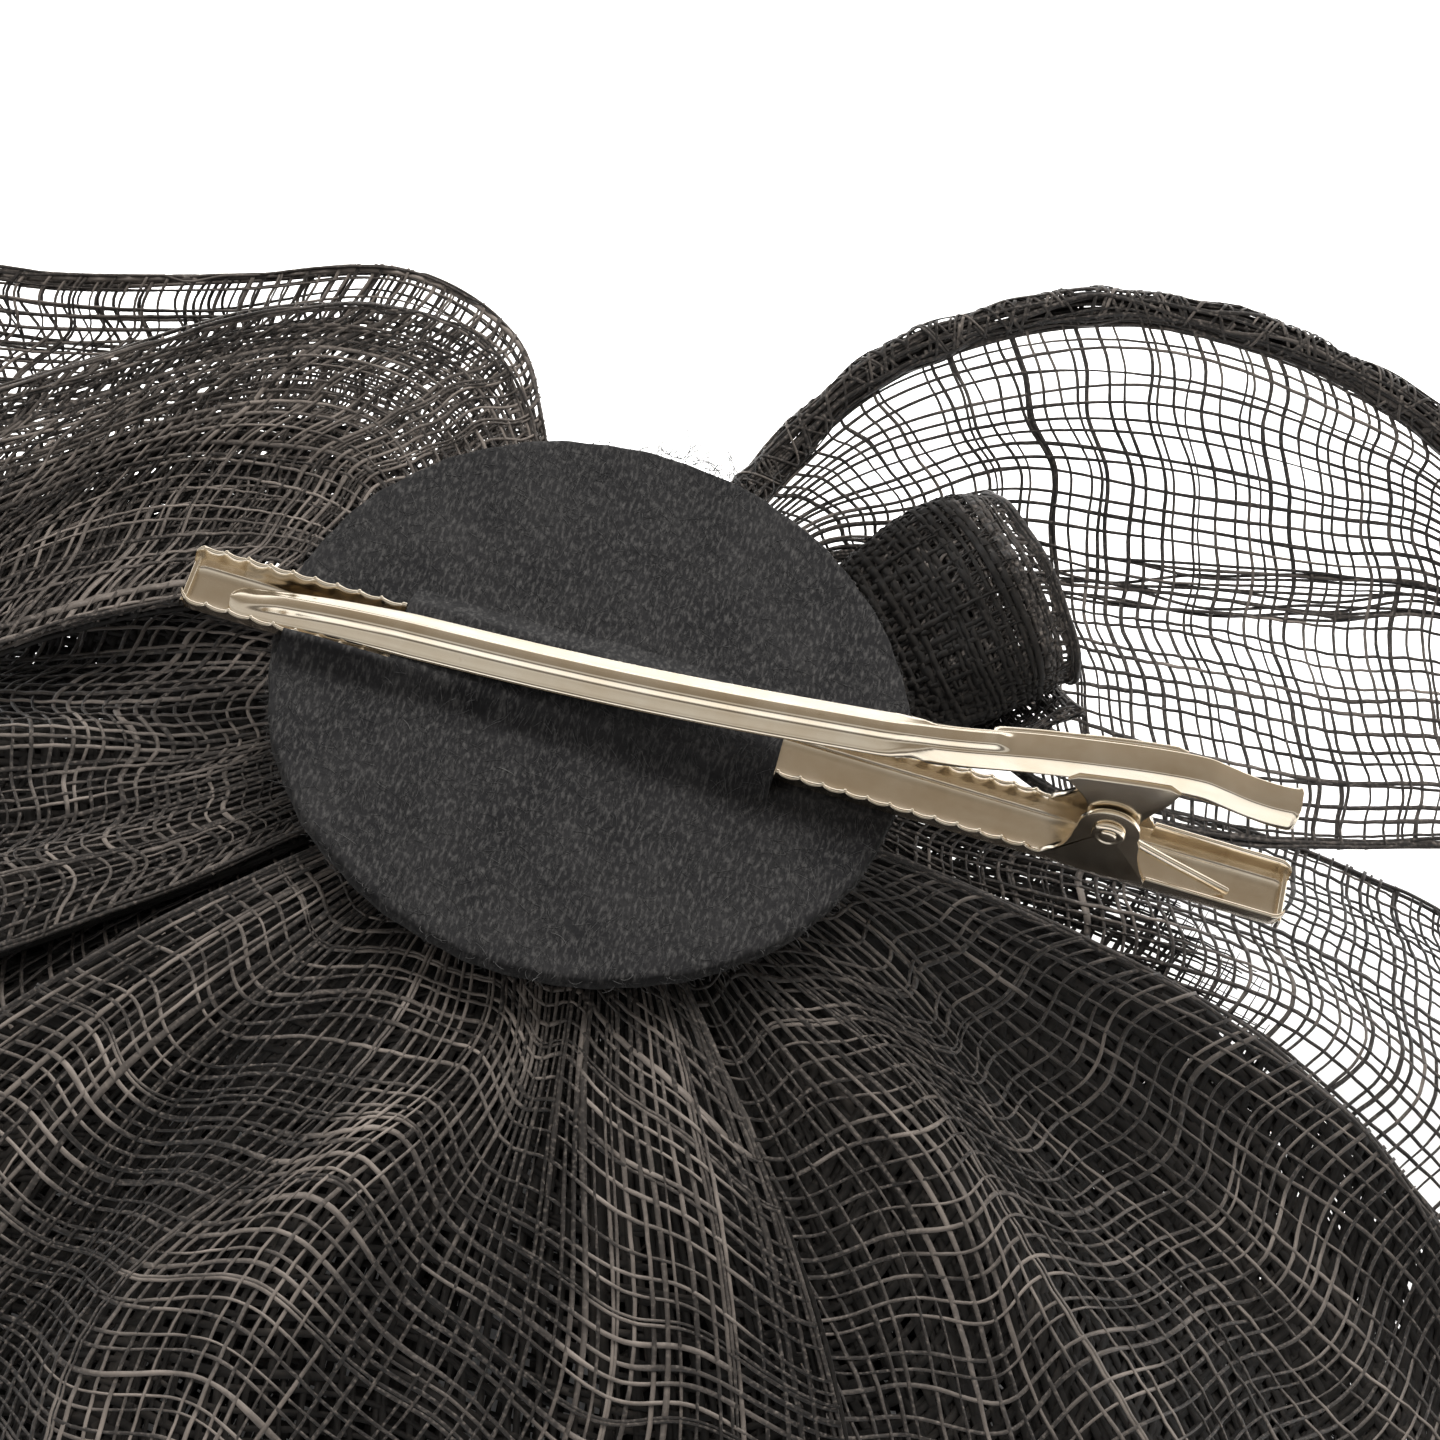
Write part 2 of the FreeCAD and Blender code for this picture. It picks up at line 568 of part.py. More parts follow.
# ---------------------------------------------------------------- sinamay: loops
# (x, y, z) control points: rows run outward from the root, points run across the strip
LOOPS = {
    "loop_left_back": [
        [(-7.7, 18.7, -4.3), (-9.7, 16.1, -4.4), (-12.1, 13.4, -4.5), (-14.9, 10.1, -4.6),
         (-17.1, 6.0, -4.7)],
        [(-9.1, 23.5, -3.9), (-11.9, 20.7, -4.2), (-15.3, 16.6, -4.7), (-18.2, 12.5, -5.1),
         (-20.5, 7.5, -5.3)],
        [(-13.9, 31.5, -2.6), (-16.5, 26.4, -4.6), (-19.6, 21.5, -6.2), (-22.8, 15.4, -6.8),
         (-25.4, 9.1, -7.0)],
        [(-23.6, 33.8, -1.6), (-25.5, 27.7, -4.6), (-27.9, 21.0, -6.8), (-30.9, 13.6, -7.6),
         (-33.0, 6.1, -7.6)],
        [(-34.5, 28.5, -1.2), (-35.0, 23.5, -4.6), (-36.1, 17.6, -7.0), (-38.2, 10.3, -8.0),
         (-39.9, 2.1, -8.0)],
        [(-46.7, 23.7, -1.0), (-46.6, 19.1, -4.6), (-47.5, 13.1, -7.4), (-48.6, 5.5, -8.6),
         (-49.3, -2.8, -8.6)],
        [(-60.6, 20.8, -1.8), (-60.2, 15.6, -5.0), (-60.6, 9.4, -7.8), (-60.6, 2.2, -9.2),
         (-59.6, -5.0, -9.4)],
        [(-70.0, 12.5, -4.6), (-69.9, 9.8, -6.2), (-69.6, 6.6, -7.6), (-69.0, 3.4, -8.6),
         (-67.6, 0.4, -9.2)],
    ],
    "loop_left_front": [
        [(-9.1, 13.3, -3.1), (-11.1, 11.1, -3.1), (-13.2, 8.6, -3.1), (-14.7, 5.7, -3.15),
         (-15.5, 2.7, -3.2)],
        [(-9.3, 21.7, -3.0), (-12.9, 17.6, -3.05), (-16.2, 12.8, -3.2), (-19.0, 8.1, -3.4),
         (-20.4, 2.6, -3.5)],
        [(-15.0, 27.2, 0.6), (-18.6, 21.7, -1.2), (-22.1, 15.9, -2.6), (-24.6, 9.5, -3.6),
         (-26.4, 2.3, -4.2)],
        [(-23.0, 26.6, 2.4), (-26.7, 20.6, 0.0), (-30.1, 14.8, -2.6), (-32.5, 7.5, -4.2),
         (-34.0, -1.3, -5.0)],
        [(-31.9, 22.1, 2.8), (-34.4, 16.2, 0.2), (-37.2, 10.2, -2.6), (-39.5, 2.9, -4.6),
         (-40.6, -6.5, -5.4)],
        [(-41.2, 14.0, 2.6), (-42.9, 8.3, 0.0), (-45.3, 2.7, -3.0), (-47.1, -4.7, -5.0),
         (-47.6, -13.0, -6.0)],
        [(-51.6, 5.2, 1.6), (-53.0, 0.6, -1.0), (-54.2, -4.5, -3.6), (-54.8, -10.6, -5.4),
         (-54.2, -17.4, -6.4)],
        [(-60.4, -2.4, -1.2), (-60.8, -4.8, -2.4), (-60.8, -7.8, -3.8), (-60.4, -10.8, -5.0),
         (-59.2, -13.8, -5.8)],
    ],
    "loop_right": [
        [(4.5, 17.0, -3.8), (6.0, 16.8, -4.2), (7.6, 16.6, -4.9), (9.2, 16.2, -6.2),
         (10.7, 15.7, -7.4), (12.1, 14.9, -8.4), (13.4, 13.8, -8.9)],
        [(7.5, 25.6, -4.1), (9.7, 25.0, -4.4), (11.9, 24.2, -5.1), (13.9, 23.2, -6.6),
         (16.0, 21.8, -8.2), (18.2, 19.8, -9.0), (20.4, 17.2, -9.2)],
        [(12.6, 34.2, -0.2), (15.1, 31.5, -2.2), (18.0, 28.3, -4.9), (21.0, 25.2, -8.0),
         (23.6, 21.1, -8.8), (26.0, 16.3, -9.0), (28.2, 11.7, -9.0)],
        [(19.3, 39.6, 2.4), (21.8, 35.8, 0.0), (24.5, 32.5, -4.0), (27.6, 27.3, -8.0),
         (30.0, 21.0, -8.2), (32.2, 14.7, -8.2), (34.2, 8.6, -8.4)],
        [(27.6, 44.1, 3.6), (29.9, 39.0, 1.0), (32.3, 34.4, -3.4), (34.8, 28.5, -7.8),
         (36.5, 21.1, -7.5), (38.1, 14.7, -7.8), (39.7, 8.8, -8.8)],
        [(36.7, 46.1, 3.6), (38.7, 40.8, 1.0), (40.8, 36.1, -3.4), (43.1, 30.5, -7.6),
         (44.5, 22.6, -7.1), (46.0, 15.8, -7.6), (47.5, 9.6, -9.0)],
        [(46.1, 46.2, 2.6), (47.7, 41.3, 0.2), (49.5, 37.0, -3.6), (51.3, 32.8, -7.5),
         (52.5, 24.6, -7.2), (53.8, 17.5, -7.9), (55.2, 12.1, -9.4)],
        [(55.7, 44.3, 0.6), (56.8, 41.2, -1.6), (58.1, 38.5, -4.4), (59.5, 35.8, -7.6),
         (60.5, 27.9, -7.8), (61.7, 20.9, -8.8), (62.9, 15.6, -10.4)],
        [(66.6, 38.2, -2.6), (67.1, 36.3, -4.0), (67.6, 34.5, -5.8), (68.3, 33.0, -8.0),
         (68.7, 27.5, -8.6), (69.3, 22.7, -9.6), (69.9, 18.4, -11.2)],
        [(74.6, 28.4, -6.8), (74.7, 27.5, -7.2), (74.8, 26.9, -7.8), (74.9, 26.0, -8.4),
         (74.8, 24.4, -9.2), (74.7, 22.7, -10.2), (74.5, 20.9, -11.4)],
    ],
}


def spline_point(points, t):
    """Point at t, from 0 to 1, on the Catmull-Rom spline through evenly spaced points."""
    spans = len(points) - 1
    k = min(spans - 1, max(0, int(t * spans)))
    before = points[0] * 2 - points[1]
    after = points[-1] * 2 - points[-2]
    a, b, c, d = ([before] + points + [after])[k:k + 4]
    t = t * spans - k
    return (b * 2 + (c - a) * t + (a * 2 - b * 5 + c * 4 - d) * t ** 2
            + (b * 3 - a - c * 3 + d) * t ** 3) * 0.5


def loop_point(name, u, v):
    rows = [[V(*point) for point in row] for row in LOOPS[name]]
    return spline_point([spline_point(row, (v + 1) / 2) for row in rows], u)


def build_loops():
    for name, rows in LOOPS.items():
        steps_across = 12 if len(rows[0]) > 5 else 9
        add_solid(name, sheet_solid(lambda u, v: loop_point(name, u, v), 18, steps_across))


def build_hem():
    """Rolled hem beside the v = -1 edge of the right loop."""
    points = []
    for i in range(3, 33):
        u = i / 32
        edge = loop_point("loop_right", u, -1.0)
        run = (loop_point("loop_right", min(1, u + 0.01), -1.0)
               - loop_point("loop_right", max(0, u - 0.01), -1.0)).normalize()
        outward = edge - loop_point("loop_right", u, -0.96)
        outward = (outward - run * outward.dot(run)).normalize()
        points.append(edge + outward * (size["hem_radius"] + 0.3))
    add_solid("loop_right_hem", round_wire(points, size["hem_radius"]))


# ---------------------------------------------------------------- sinamay: curled cone
CURL_ROOT = V(11.5, 8.5, -5.3)
CURL_MOUTH = V(28.4, 20.2, -0.4)
CURL_HALF_WIDTH = 10.6
CURL_ROOT_HALF_HEIGHT = 0.95
CURL_MOUTH_HALF_HEIGHT = 4.2
CURL_TURNS = 1.45
CURL_TIGHTENING = 0.42  # share of its size the roll loses from its outer to its inner edge


def curl_point(u, v):
    """A strip rolled about an axis: u runs along the axis, v from -1 to 1 round it."""
    around = (v + 1) / 2
    angle = 2 * math.pi * CURL_TURNS * around + math.radians(200)
    axis = CURL_MOUTH - CURL_ROOT
    sideways = V(-axis.y, axis.x, 0).normalize()
    lift = smooth((u - 0.36) / 0.6)
    centre = CURL_ROOT + V(axis.x * u, axis.y * u, axis.z * lift)
    shrink = 1 - CURL_TIGHTENING * around
    flare = 0.60 + 0.42 * smooth(u / 0.75) - 0.06 * smooth((u - 0.8) / 0.2)
    swell = (CURL_MOUTH_HALF_HEIGHT - CURL_ROOT_HALF_HEIGHT) * smooth((u - 0.36) / 0.5)
    side = CURL_HALF_WIDTH * shrink * flare * math.cos(angle)
    rise = (CURL_ROOT_HALF_HEIGHT + swell) * shrink * math.sin(angle)
    return centre + sideways * side + V(0, 0, rise)


# ---------------------------------------------------------------- rosette
def rosette_spiral(offset):
    points = []
    for k in range(61):
        t = k / 60
        angle = 2 * math.pi * 3.1 * t
        radius = 3.0 + 17.5 * t + 0.5 * math.sin(5 * angle) * t + offset
        points.append(V(radius * math.cos(angle), radius * math.sin(angle),
                        size["rosette_low"]))
    return curve_through(points).toShape(), points


def build_rosette():
    """One strip rolled into a loose spiral about the centre, on the decorated side."""
    half = size["rosette_band"] / 2
    inner, inner_points = rosette_spiral(-half)
    outer, outer_points = rosette_spiral(half)
    band = Part.Face(Part.Wire([
        inner, Part.makeLine(inner_points[-1], outer_points[-1]),
        outer, Part.makeLine(outer_points[0], inner_points[0])]))
    add_solid("rosette", band.extrude(V(0, 0, size["rosette_high"] - size["rosette_low"])))


# ---------------------------------------------------------------- export
def export_parts():
    for item in doc.Objects:
        if "Invalid" in item.State or "Error" in item.State:
            raise RuntimeError("%s is %s" % (item.Name, item.State))
    kinds = ("PartDesign::Body", "Part::Feature", "Part::Cylinder", "Part::Torus")
    for item in doc.Objects:
        if item.TypeId not in kinds or item.getParentGeoFeatureGroup() is not None:
            continue
        shape = item.Shape
        if (shape.isNull() or not shape.isValid() or len(shape.Solids) != 1
                or shape.Volume < 0.1):
            raise RuntimeError("%s is not one sound solid" % item.Label)
        shape.exportStep("parts/%s.step" % item.Label)


build_lower_jaw()
build_pin()
build_upper_lever()
build_spring()
build_felt()
build_base_and_core()
build_petals()
build_loops()
add_solid("curled_cone", sheet_solid(curl_point, 8, 40))
build_hem()
build_rosette()
doc.recompute()
export_parts()
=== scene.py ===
"""Headpiece: layered sinamay petals and loops on a felt disc, held by a hinged metal clip.

Lengths are millimetres until make_object turns them into metres. The felt face lies at z = 0
with the clip above it (+Z) and the petals, loops and rosette below it. The clip runs along X
with its pin near x = +36. The camera looks from -Y ("near"), so +Y is far and -X is left.
"""
import bpy
import math
import numpy as np
from collections import namedtuple
from mathutils import Matrix, Vector


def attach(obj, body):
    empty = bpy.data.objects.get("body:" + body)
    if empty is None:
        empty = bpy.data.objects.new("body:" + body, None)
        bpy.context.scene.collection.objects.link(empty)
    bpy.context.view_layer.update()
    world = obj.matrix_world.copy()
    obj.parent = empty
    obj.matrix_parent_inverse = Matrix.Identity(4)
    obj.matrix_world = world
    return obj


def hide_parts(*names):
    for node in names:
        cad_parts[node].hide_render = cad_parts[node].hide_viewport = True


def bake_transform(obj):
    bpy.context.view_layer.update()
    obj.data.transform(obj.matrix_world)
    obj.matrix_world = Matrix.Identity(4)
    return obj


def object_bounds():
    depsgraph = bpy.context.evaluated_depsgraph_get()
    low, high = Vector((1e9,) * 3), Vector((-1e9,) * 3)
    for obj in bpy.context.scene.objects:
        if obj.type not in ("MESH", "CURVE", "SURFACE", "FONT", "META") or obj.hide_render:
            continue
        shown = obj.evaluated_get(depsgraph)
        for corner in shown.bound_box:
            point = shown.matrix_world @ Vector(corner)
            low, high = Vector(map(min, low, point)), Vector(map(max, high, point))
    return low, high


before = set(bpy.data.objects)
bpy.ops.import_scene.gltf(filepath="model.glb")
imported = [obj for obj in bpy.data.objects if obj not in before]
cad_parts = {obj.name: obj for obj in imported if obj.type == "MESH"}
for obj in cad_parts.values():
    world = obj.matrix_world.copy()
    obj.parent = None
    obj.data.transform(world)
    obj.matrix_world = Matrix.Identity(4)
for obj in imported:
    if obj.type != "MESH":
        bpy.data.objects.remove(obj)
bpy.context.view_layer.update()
ROOT, LEVER = "headpiece", "lever"
MM = 0.001

CLIP_Y = -0.42                   # the clip's long axis
FELT_RADIUS, FELT_THICK = 22.5, 1.5
SLIT_LEFT, SLIT_RIGHT = -14.05, 13.5     # x of the slits in the felt
GAUGE = 0.4                      # sheet metal
JAW_LEFT, JAW_LENGTH = -29.17, 79.1
JAW_RIGHT = JAW_LEFT + JAW_LENGTH
JAW_INSET = 0.02                 # the tray stops this far inside its nominal ends
RIM_HALF, FLOOR_HALF = 2.515, 2.15       # half widths of the tray at rim and floor
TRAY_LOW, RIM_HIGH, RIM_LOW = -0.25, 1.8, 1.45
PIN_X, PIN_Z = 36.3, 6.1
UP = (0.0, 0.0, 1.0)
PLAIN_TONE = 0.3                 # "tone" attribute of the solid cloth pieces


# ------------------------------------------------------------------ materials
def fill_ramp(color_ramp, stops):
    while len(color_ramp.elements) < len(stops):
        color_ramp.elements.new(0.5)
    for element, (position, color) in zip(color_ramp.elements, stops):
        element.position = position
        element.color = (*color, 1)


class Shader:
    """A material and short ways to add nodes in front of its Principled BSDF."""

    def __init__(self, name):
        self.material = bpy.data.materials.new(name)
        self.material.use_nodes = True
        self.tree = self.material.node_tree
        self.bsdf = self.tree.nodes["Principled BSDF"]

    def node(self, kind):
        return self.tree.nodes.new(kind)

    def feed(self, socket, value):
        """Link an output to the socket, or set the socket to a plain value."""
        if isinstance(value, bpy.types.NodeSocket):
            self.tree.links.new(value, socket)
        elif isinstance(value, tuple):
            socket.default_value = (*value, 1)
        else:
            socket.default_value = value

    def surface(self, **inputs):
        for name, value in inputs.items():
            self.feed(self.bsdf.inputs[name.replace("_", " ")], value)

    def coords(self, scale=(1, 1, 1), turn_z=0.0):
        source = self.node("ShaderNodeTexCoord")
        mapping = self.node("ShaderNodeMapping")
        mapping.inputs["Scale"].default_value = scale
        mapping.inputs["Rotation"].default_value = (0, 0, turn_z)
        self.feed(mapping.inputs["Vector"], source.outputs["Object"])
        return mapping.outputs["Vector"]

    def noise(self, vector, scale, detail=4, roughness=0.55):
        noise = self.node("ShaderNodeTexNoise")
        noise.inputs["Scale"].default_value = scale
        noise.inputs["Detail"].default_value = detail
        noise.inputs["Roughness"].default_value = roughness
        self.feed(noise.inputs["Vector"], vector)
        return noise.outputs["Fac"]

    def ramp(self, factor, stops):
        ramp = self.node("ShaderNodeValToRGB")
        fill_ramp(ramp.color_ramp, stops)
        self.feed(ramp.inputs["Fac"], factor)
        return ramp.outputs["Color"]

    def mix(self, factor, a, b):
        mix = self.node("ShaderNodeMix")
        mix.data_type = "RGBA"
        self.feed(mix.inputs["Factor"], factor)
        for name, value in (("A", a), ("B", b)):
            self.feed([i for i in mix.inputs if i.name == name and i.type == "RGBA"][0], value)
        return [o for o in mix.outputs if o.type == "RGBA"][0]

    def remap(self, value, source=(0.0, 1.0), to=(0.0, 1.0)):
        node = self.node("ShaderNodeMapRange")
        self.feed(node.inputs["Value"], value)
        node.inputs["From Min"].default_value, node.inputs["From Max"].default_value = source
        node.inputs["To Min"].default_value, node.inputs["To Max"].default_value = to
        return node.outputs["Result"]

    def bump(self, height, strength, distance):
        bump = self.node("ShaderNodeBump")
        bump.inputs["Strength"].default_value = strength
        bump.inputs["Distance"].default_value = distance
        self.feed(bump.inputs["Height"], height)
        self.surface(Normal=bump.outputs["Normal"])


def metal_material():
    """Pale gold plate with drawing lines along X, blotches and fine specks."""
    sh = Shader("clip_metal_plate")
    lengthwise = sh.coords(scale=(60, 900, 900))
    even = sh.coords()
    drawn = sh.noise(lengthwise, scale=1.0, detail=3)
    blotch = sh.noise(even, scale=260)
    speck = sh.noise(even, scale=1300, detail=2)
    color = sh.ramp(blotch, [(0.3, (0.80, 0.70, 0.55)), (0.55, (0.88, 0.80, 0.665)),
                             (0.8, (0.93, 0.87, 0.76))])
    lines = sh.remap(drawn, source=(0.35, 0.75), to=(0.0, 0.35))
    color = sh.mix(lines, color, (0.70, 0.57, 0.41))
    specks = sh.remap(speck, source=(0.68, 0.8), to=(0.0, 0.18))
    color = sh.mix(specks, color, (0.5, 0.39, 0.27))
    wear = sh.mix(0.5, drawn, blotch)
    sh.surface(Base_Color=color, Metallic=1.0,
               Roughness=sh.remap(wear, source=(0.3, 0.7), to=(0.12, 0.26)))
    sh.bump(sh.mix(0.12, drawn, speck), strength=0.02, distance=0.00002)
    return sh.material


def felt_material():
    """Charcoal felt: clouded black under two runs of paler streaks."""
    sh = Shader("felt_charcoal")
    even = sh.coords()
    streak_coords = sh.coords(scale=(3800, 1300, 900), turn_z=0.22)
    streak = sh.noise(streak_coords, scale=1.0, roughness=0.65)
    cross_coords = sh.coords(scale=(620, 3000, 900), turn_z=-0.5)
    cross_streak = sh.noise(cross_coords, scale=1.0, detail=3, roughness=0.6)
    cloud = sh.noise(even, scale=170, detail=5)
    tiny = sh.noise(even, scale=2400, detail=3)
    color = sh.ramp(cloud, [(0.3, (0.0050, 0.0050, 0.0054)), (0.7, (0.0115, 0.0112, 0.0114))])
    layers = (
        # pattern, its range, strength, colour
        (streak, (0.48, 0.74), 0.68, (0.054, 0.052, 0.050)),
        (cross_streak, (0.60, 0.8), 0.5, (0.032, 0.031, 0.030)),
        (tiny, (0.55, 0.75), 0.6, (0.004, 0.004, 0.004)),
    )
    for pattern, source, strength, tint in layers:
        color = sh.mix(sh.remap(pattern, source=source, to=(0.0, strength)), color, tint)
    sh.surface(Base_Color=color, Roughness=sh.remap(tiny, to=(0.82, 0.98)),
               Specular_IOR_Level=0.12, Sheen_Weight=0.03, Sheen_Roughness=0.5)
    height = sh.mix(0.5, sh.mix(0.5, streak, cross_streak), tiny)
    sh.bump(height, strength=0.55, distance=0.00018)
    return sh.material


def fibre_material(name, dark, mid, pale, roughness, sheen, specular=0.5):
    """Cloth fibre, coloured from dark to pale by the mesh's tone attribute."""
    sh = Shader(name)
    tone = sh.node("ShaderNodeAttribute")
    tone.attribute_name = "tone"
    patches = sh.noise(sh.coords(), scale=420)
    fine = sh.noise(sh.coords(), scale=3600, detail=2)
    color = sh.ramp(tone.outputs["Fac"], [(0.0, dark), (0.55, mid), (1.0, pale)])
    color = sh.mix(sh.remap(patches, source=(0.35, 0.7), to=(0.0, 0.55)), color, dark)
    color = sh.mix(sh.remap(fine, source=(0.5, 0.8), to=(0.0, 0.6)), color, pale)
    sh.surface(Base_Color=color,
               Roughness=sh.remap(fine, to=(roughness - 0.1, roughness + 0.16)),
               Specular_IOR_Level=specular, Sheen_Weight=sheen, Sheen_Roughness=0.4)
    sh.bump(fine, strength=0.3, distance=0.00003)
    return sh.material


def floor_material():
    """Pale sheet, greyer towards -Y: painted shade standing in for the shadow under the object
    and the light falling off towards the camera.
    """
    sh = Shader("pale_floor")
    even = sh.coords()
    split = sh.node("ShaderNodeSeparateXYZ")
    sh.feed(split.inputs["Vector"], even)
    # painted shade: the floor greys from pale at y = 0.03 m to (0.22, 0.22, 0.225) at y = -0.20 m
    painted_light_falloff = sh.remap(split.outputs["Y"], source=(-0.20, 0.03))
    pale = sh.ramp(sh.noise(even, scale=9, detail=3),
                   [(0.3, (0.90, 0.90, 0.905)), (0.7, (0.93, 0.93, 0.932))])
    sh.surface(Base_Color=sh.mix(painted_light_falloff, (0.22, 0.22, 0.225), pale),
               Roughness=sh.remap(sh.noise(even, scale=60, detail=2), to=(0.55, 0.7)))
    return sh.material


METAL = metal_material()
FELT = felt_material()
SINAMAY = fibre_material(
    "sinamay_fibre", dark=(0.0036, 0.0031, 0.0029), mid=(0.0160, 0.0136, 0.0121),
    pale=(0.116, 0.098, 0.085), roughness=0.42, sheen=0.05)
# The darker sinamay is painted shade: it colours the layers that lie under others (linings,
# backings, under-petals, the core's body) as if in the shadow of those above
SHADED_SINAMAY = fibre_material(
    "sinamay_painted_shade", dark=(0.0020, 0.0018, 0.0017), mid=(0.0046, 0.0040, 0.0036),
    pale=(0.016, 0.0135, 0.0115), roughness=0.60, sheen=0.01, specular=0.42)
FUZZ = fibre_material(
    "felt_fuzz", dark=(0.008, 0.008, 0.0085), mid=(0.024, 0.0235, 0.0235),
    pale=(0.09, 0.088, 0.085), roughness=0.75, sheen=0.02)
CARD = fibre_material(
    "base_card_cloth", dark=(0.008, 0.008, 0.008), mid=(0.014, 0.014, 0.014),
    pale=(0.03, 0.03, 0.03), roughness=0.7, sheen=0.1)
THREAD = fibre_material(
    "binding_thread_black", dark=(0.006, 0.006, 0.006), mid=(0.014, 0.014, 0.014),
    pale=(0.04, 0.04, 0.04), roughness=0.5, sheen=0.2)


# ------------------------------------------------------------------ small maths
def ease(t):
    """Smooth step of one number, held to 0 and 1."""
    t = min(1.0, max(0.0, t))
    return t * t * (3 - 2 * t)


def ease_all(t):
    """Smooth step of an array."""
    t = np.clip(t, 0, 1)
    return t * t * (3 - 2 * t)


def unit(vectors):
    return vectors / (np.linalg.norm(vectors, axis=-1, keepdims=True) + 1e-12)


def path_length(points):
    return np.linalg.norm(np.diff(points, axis=0), axis=1).sum()


def resample(points, count):
    """The same path at count points evenly spaced along it."""
    points = np.asarray(points, float)
    steps = np.linalg.norm(np.diff(points, axis=0), axis=1)
    distance = np.concatenate([[0], np.cumsum(steps)])
    wanted = np.linspace(0, distance[-1], count)
    return np.stack([np.interp(wanted, distance, column) for column in points.T], -1)


def relax(points, passes=1):
    """Soften a path in place, keeping its ends."""
    for _ in range(passes):
        points[1:-1] = (points[:-2] + 2 * points[1:-1] + points[2:]) / 4


def arc(center, radius, start, stop, count):
    """Points round a centre, from start to stop in degrees."""
    return [(center[0] + radius * math.cos(math.radians(a)),
             center[1] + radius * math.sin(math.radians(a)))
            for a in np.linspace(start, stop, count)]


def table_at(table, x):
    """Second column of a table at x, held beyond its ends."""
    columns = np.array(table)
    return float(np.interp(x, columns[:, 0], columns[:, 1]))


def smooth_noise(count, length, scale, amount, gen):
    """Gentle random curve of count samples over length, with features about scale long."""
    knots_count = max(2, int(length / scale) + 2)
    knots = gen.normal(0, 1, knots_count)
    x = np.linspace(0, knots_count - 1.001, count)
    i = x.astype(int)
    f = ease_all(x - i)
    return amount * (knots[i] * (1 - f) + knots[np.minimum(i + 1, knots_count - 1)] * f)


def random_tone(gen, mean, spread, low=0.0):
    return np.clip(gen.normal(mean, spread), low, 1)


# ------------------------------------------------------------------ mesh builders
def grid_quads(rows, columns, closed=False, flip=False, first=0):
    """Quads between rows of vertices numbered from first; closed joins each row's ends."""
    i = np.arange(rows - 1)[:, None] * columns + first
    j = np.arange(columns if closed else columns - 1)[None, :]
    after = (j + 1) % columns
    corners = [i + j, i + after, i + columns + after, i + columns + j]
    if flip:
        corners = [corners[k] for k in (0, 3, 2, 1)]
    return np.stack(corners, -1).reshape(-1, 4)


def interleave(first, second):
    return np.stack([first, second], 1).reshape(-1, 4)


def make_object(name, verts, faces, material, uv=None, tone=None, smooth=True, sharp=None):
    """Object from verts in mm and faces as an (n, 4) array or as lists of any length."""
    mesh = bpy.data.meshes.new(name)
    verts = np.asarray(verts, float) * MM
    if isinstance(faces, np.ndarray):
        count, sides = faces.shape
        mesh.vertices.add(len(verts))
        mesh.vertices.foreach_set("co", verts.astype(np.float32).ravel())
        mesh.loops.add(count * sides)
        mesh.loops.foreach_set("vertex_index", faces.astype(np.int32).ravel())
        mesh.polygons.add(count)
        starts = np.arange(0, count * sides, sides, dtype=np.int32)
        mesh.polygons.foreach_set("loop_start", starts)
        mesh.polygons.foreach_set("loop_total", np.full(count, sides, dtype=np.int32))
        mesh.update(calc_edges=True)
    else:
        mesh.from_pydata(verts.tolist(), [], faces)
        mesh.update()
    mesh.validate()
    if smooth:
        mesh.polygons.foreach_set("use_smooth", np.ones(len(mesh.polygons), dtype=bool))
    # validate may drop faces, and then the UVs no longer match
    if uv is not None and len(uv) == len(mesh.loops):
        layer = mesh.uv_layers.new(name="OFBake")
        layer.data.foreach_set("uv", np.asarray(uv, np.float32).ravel())
    if tone is not None:
        attribute = mesh.attributes.new("tone", "FLOAT", "POINT")
        attribute.data.foreach_set("value", np.full(len(verts), tone, dtype=np.float32))
    mesh.materials.append(material)
    obj = bpy.data.objects.new(name, mesh)
    bpy.context.scene.collection.objects.link(obj)
    if sharp is not None:
        mesh.set_sharp_from_angle(angle=math.radians(sharp))
    return obj


def register(obj, replaces=None, rides=ROOT):
    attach(obj, rides)
    if replaces:
        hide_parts(replaces)


STRAND_SIDES = 4
CORNER_REACH = 1.25      # strand corners stand this much beyond the half width and thickness
UV_COLUMN_STRANDS = 250  # most strands in one column of the UV sheet


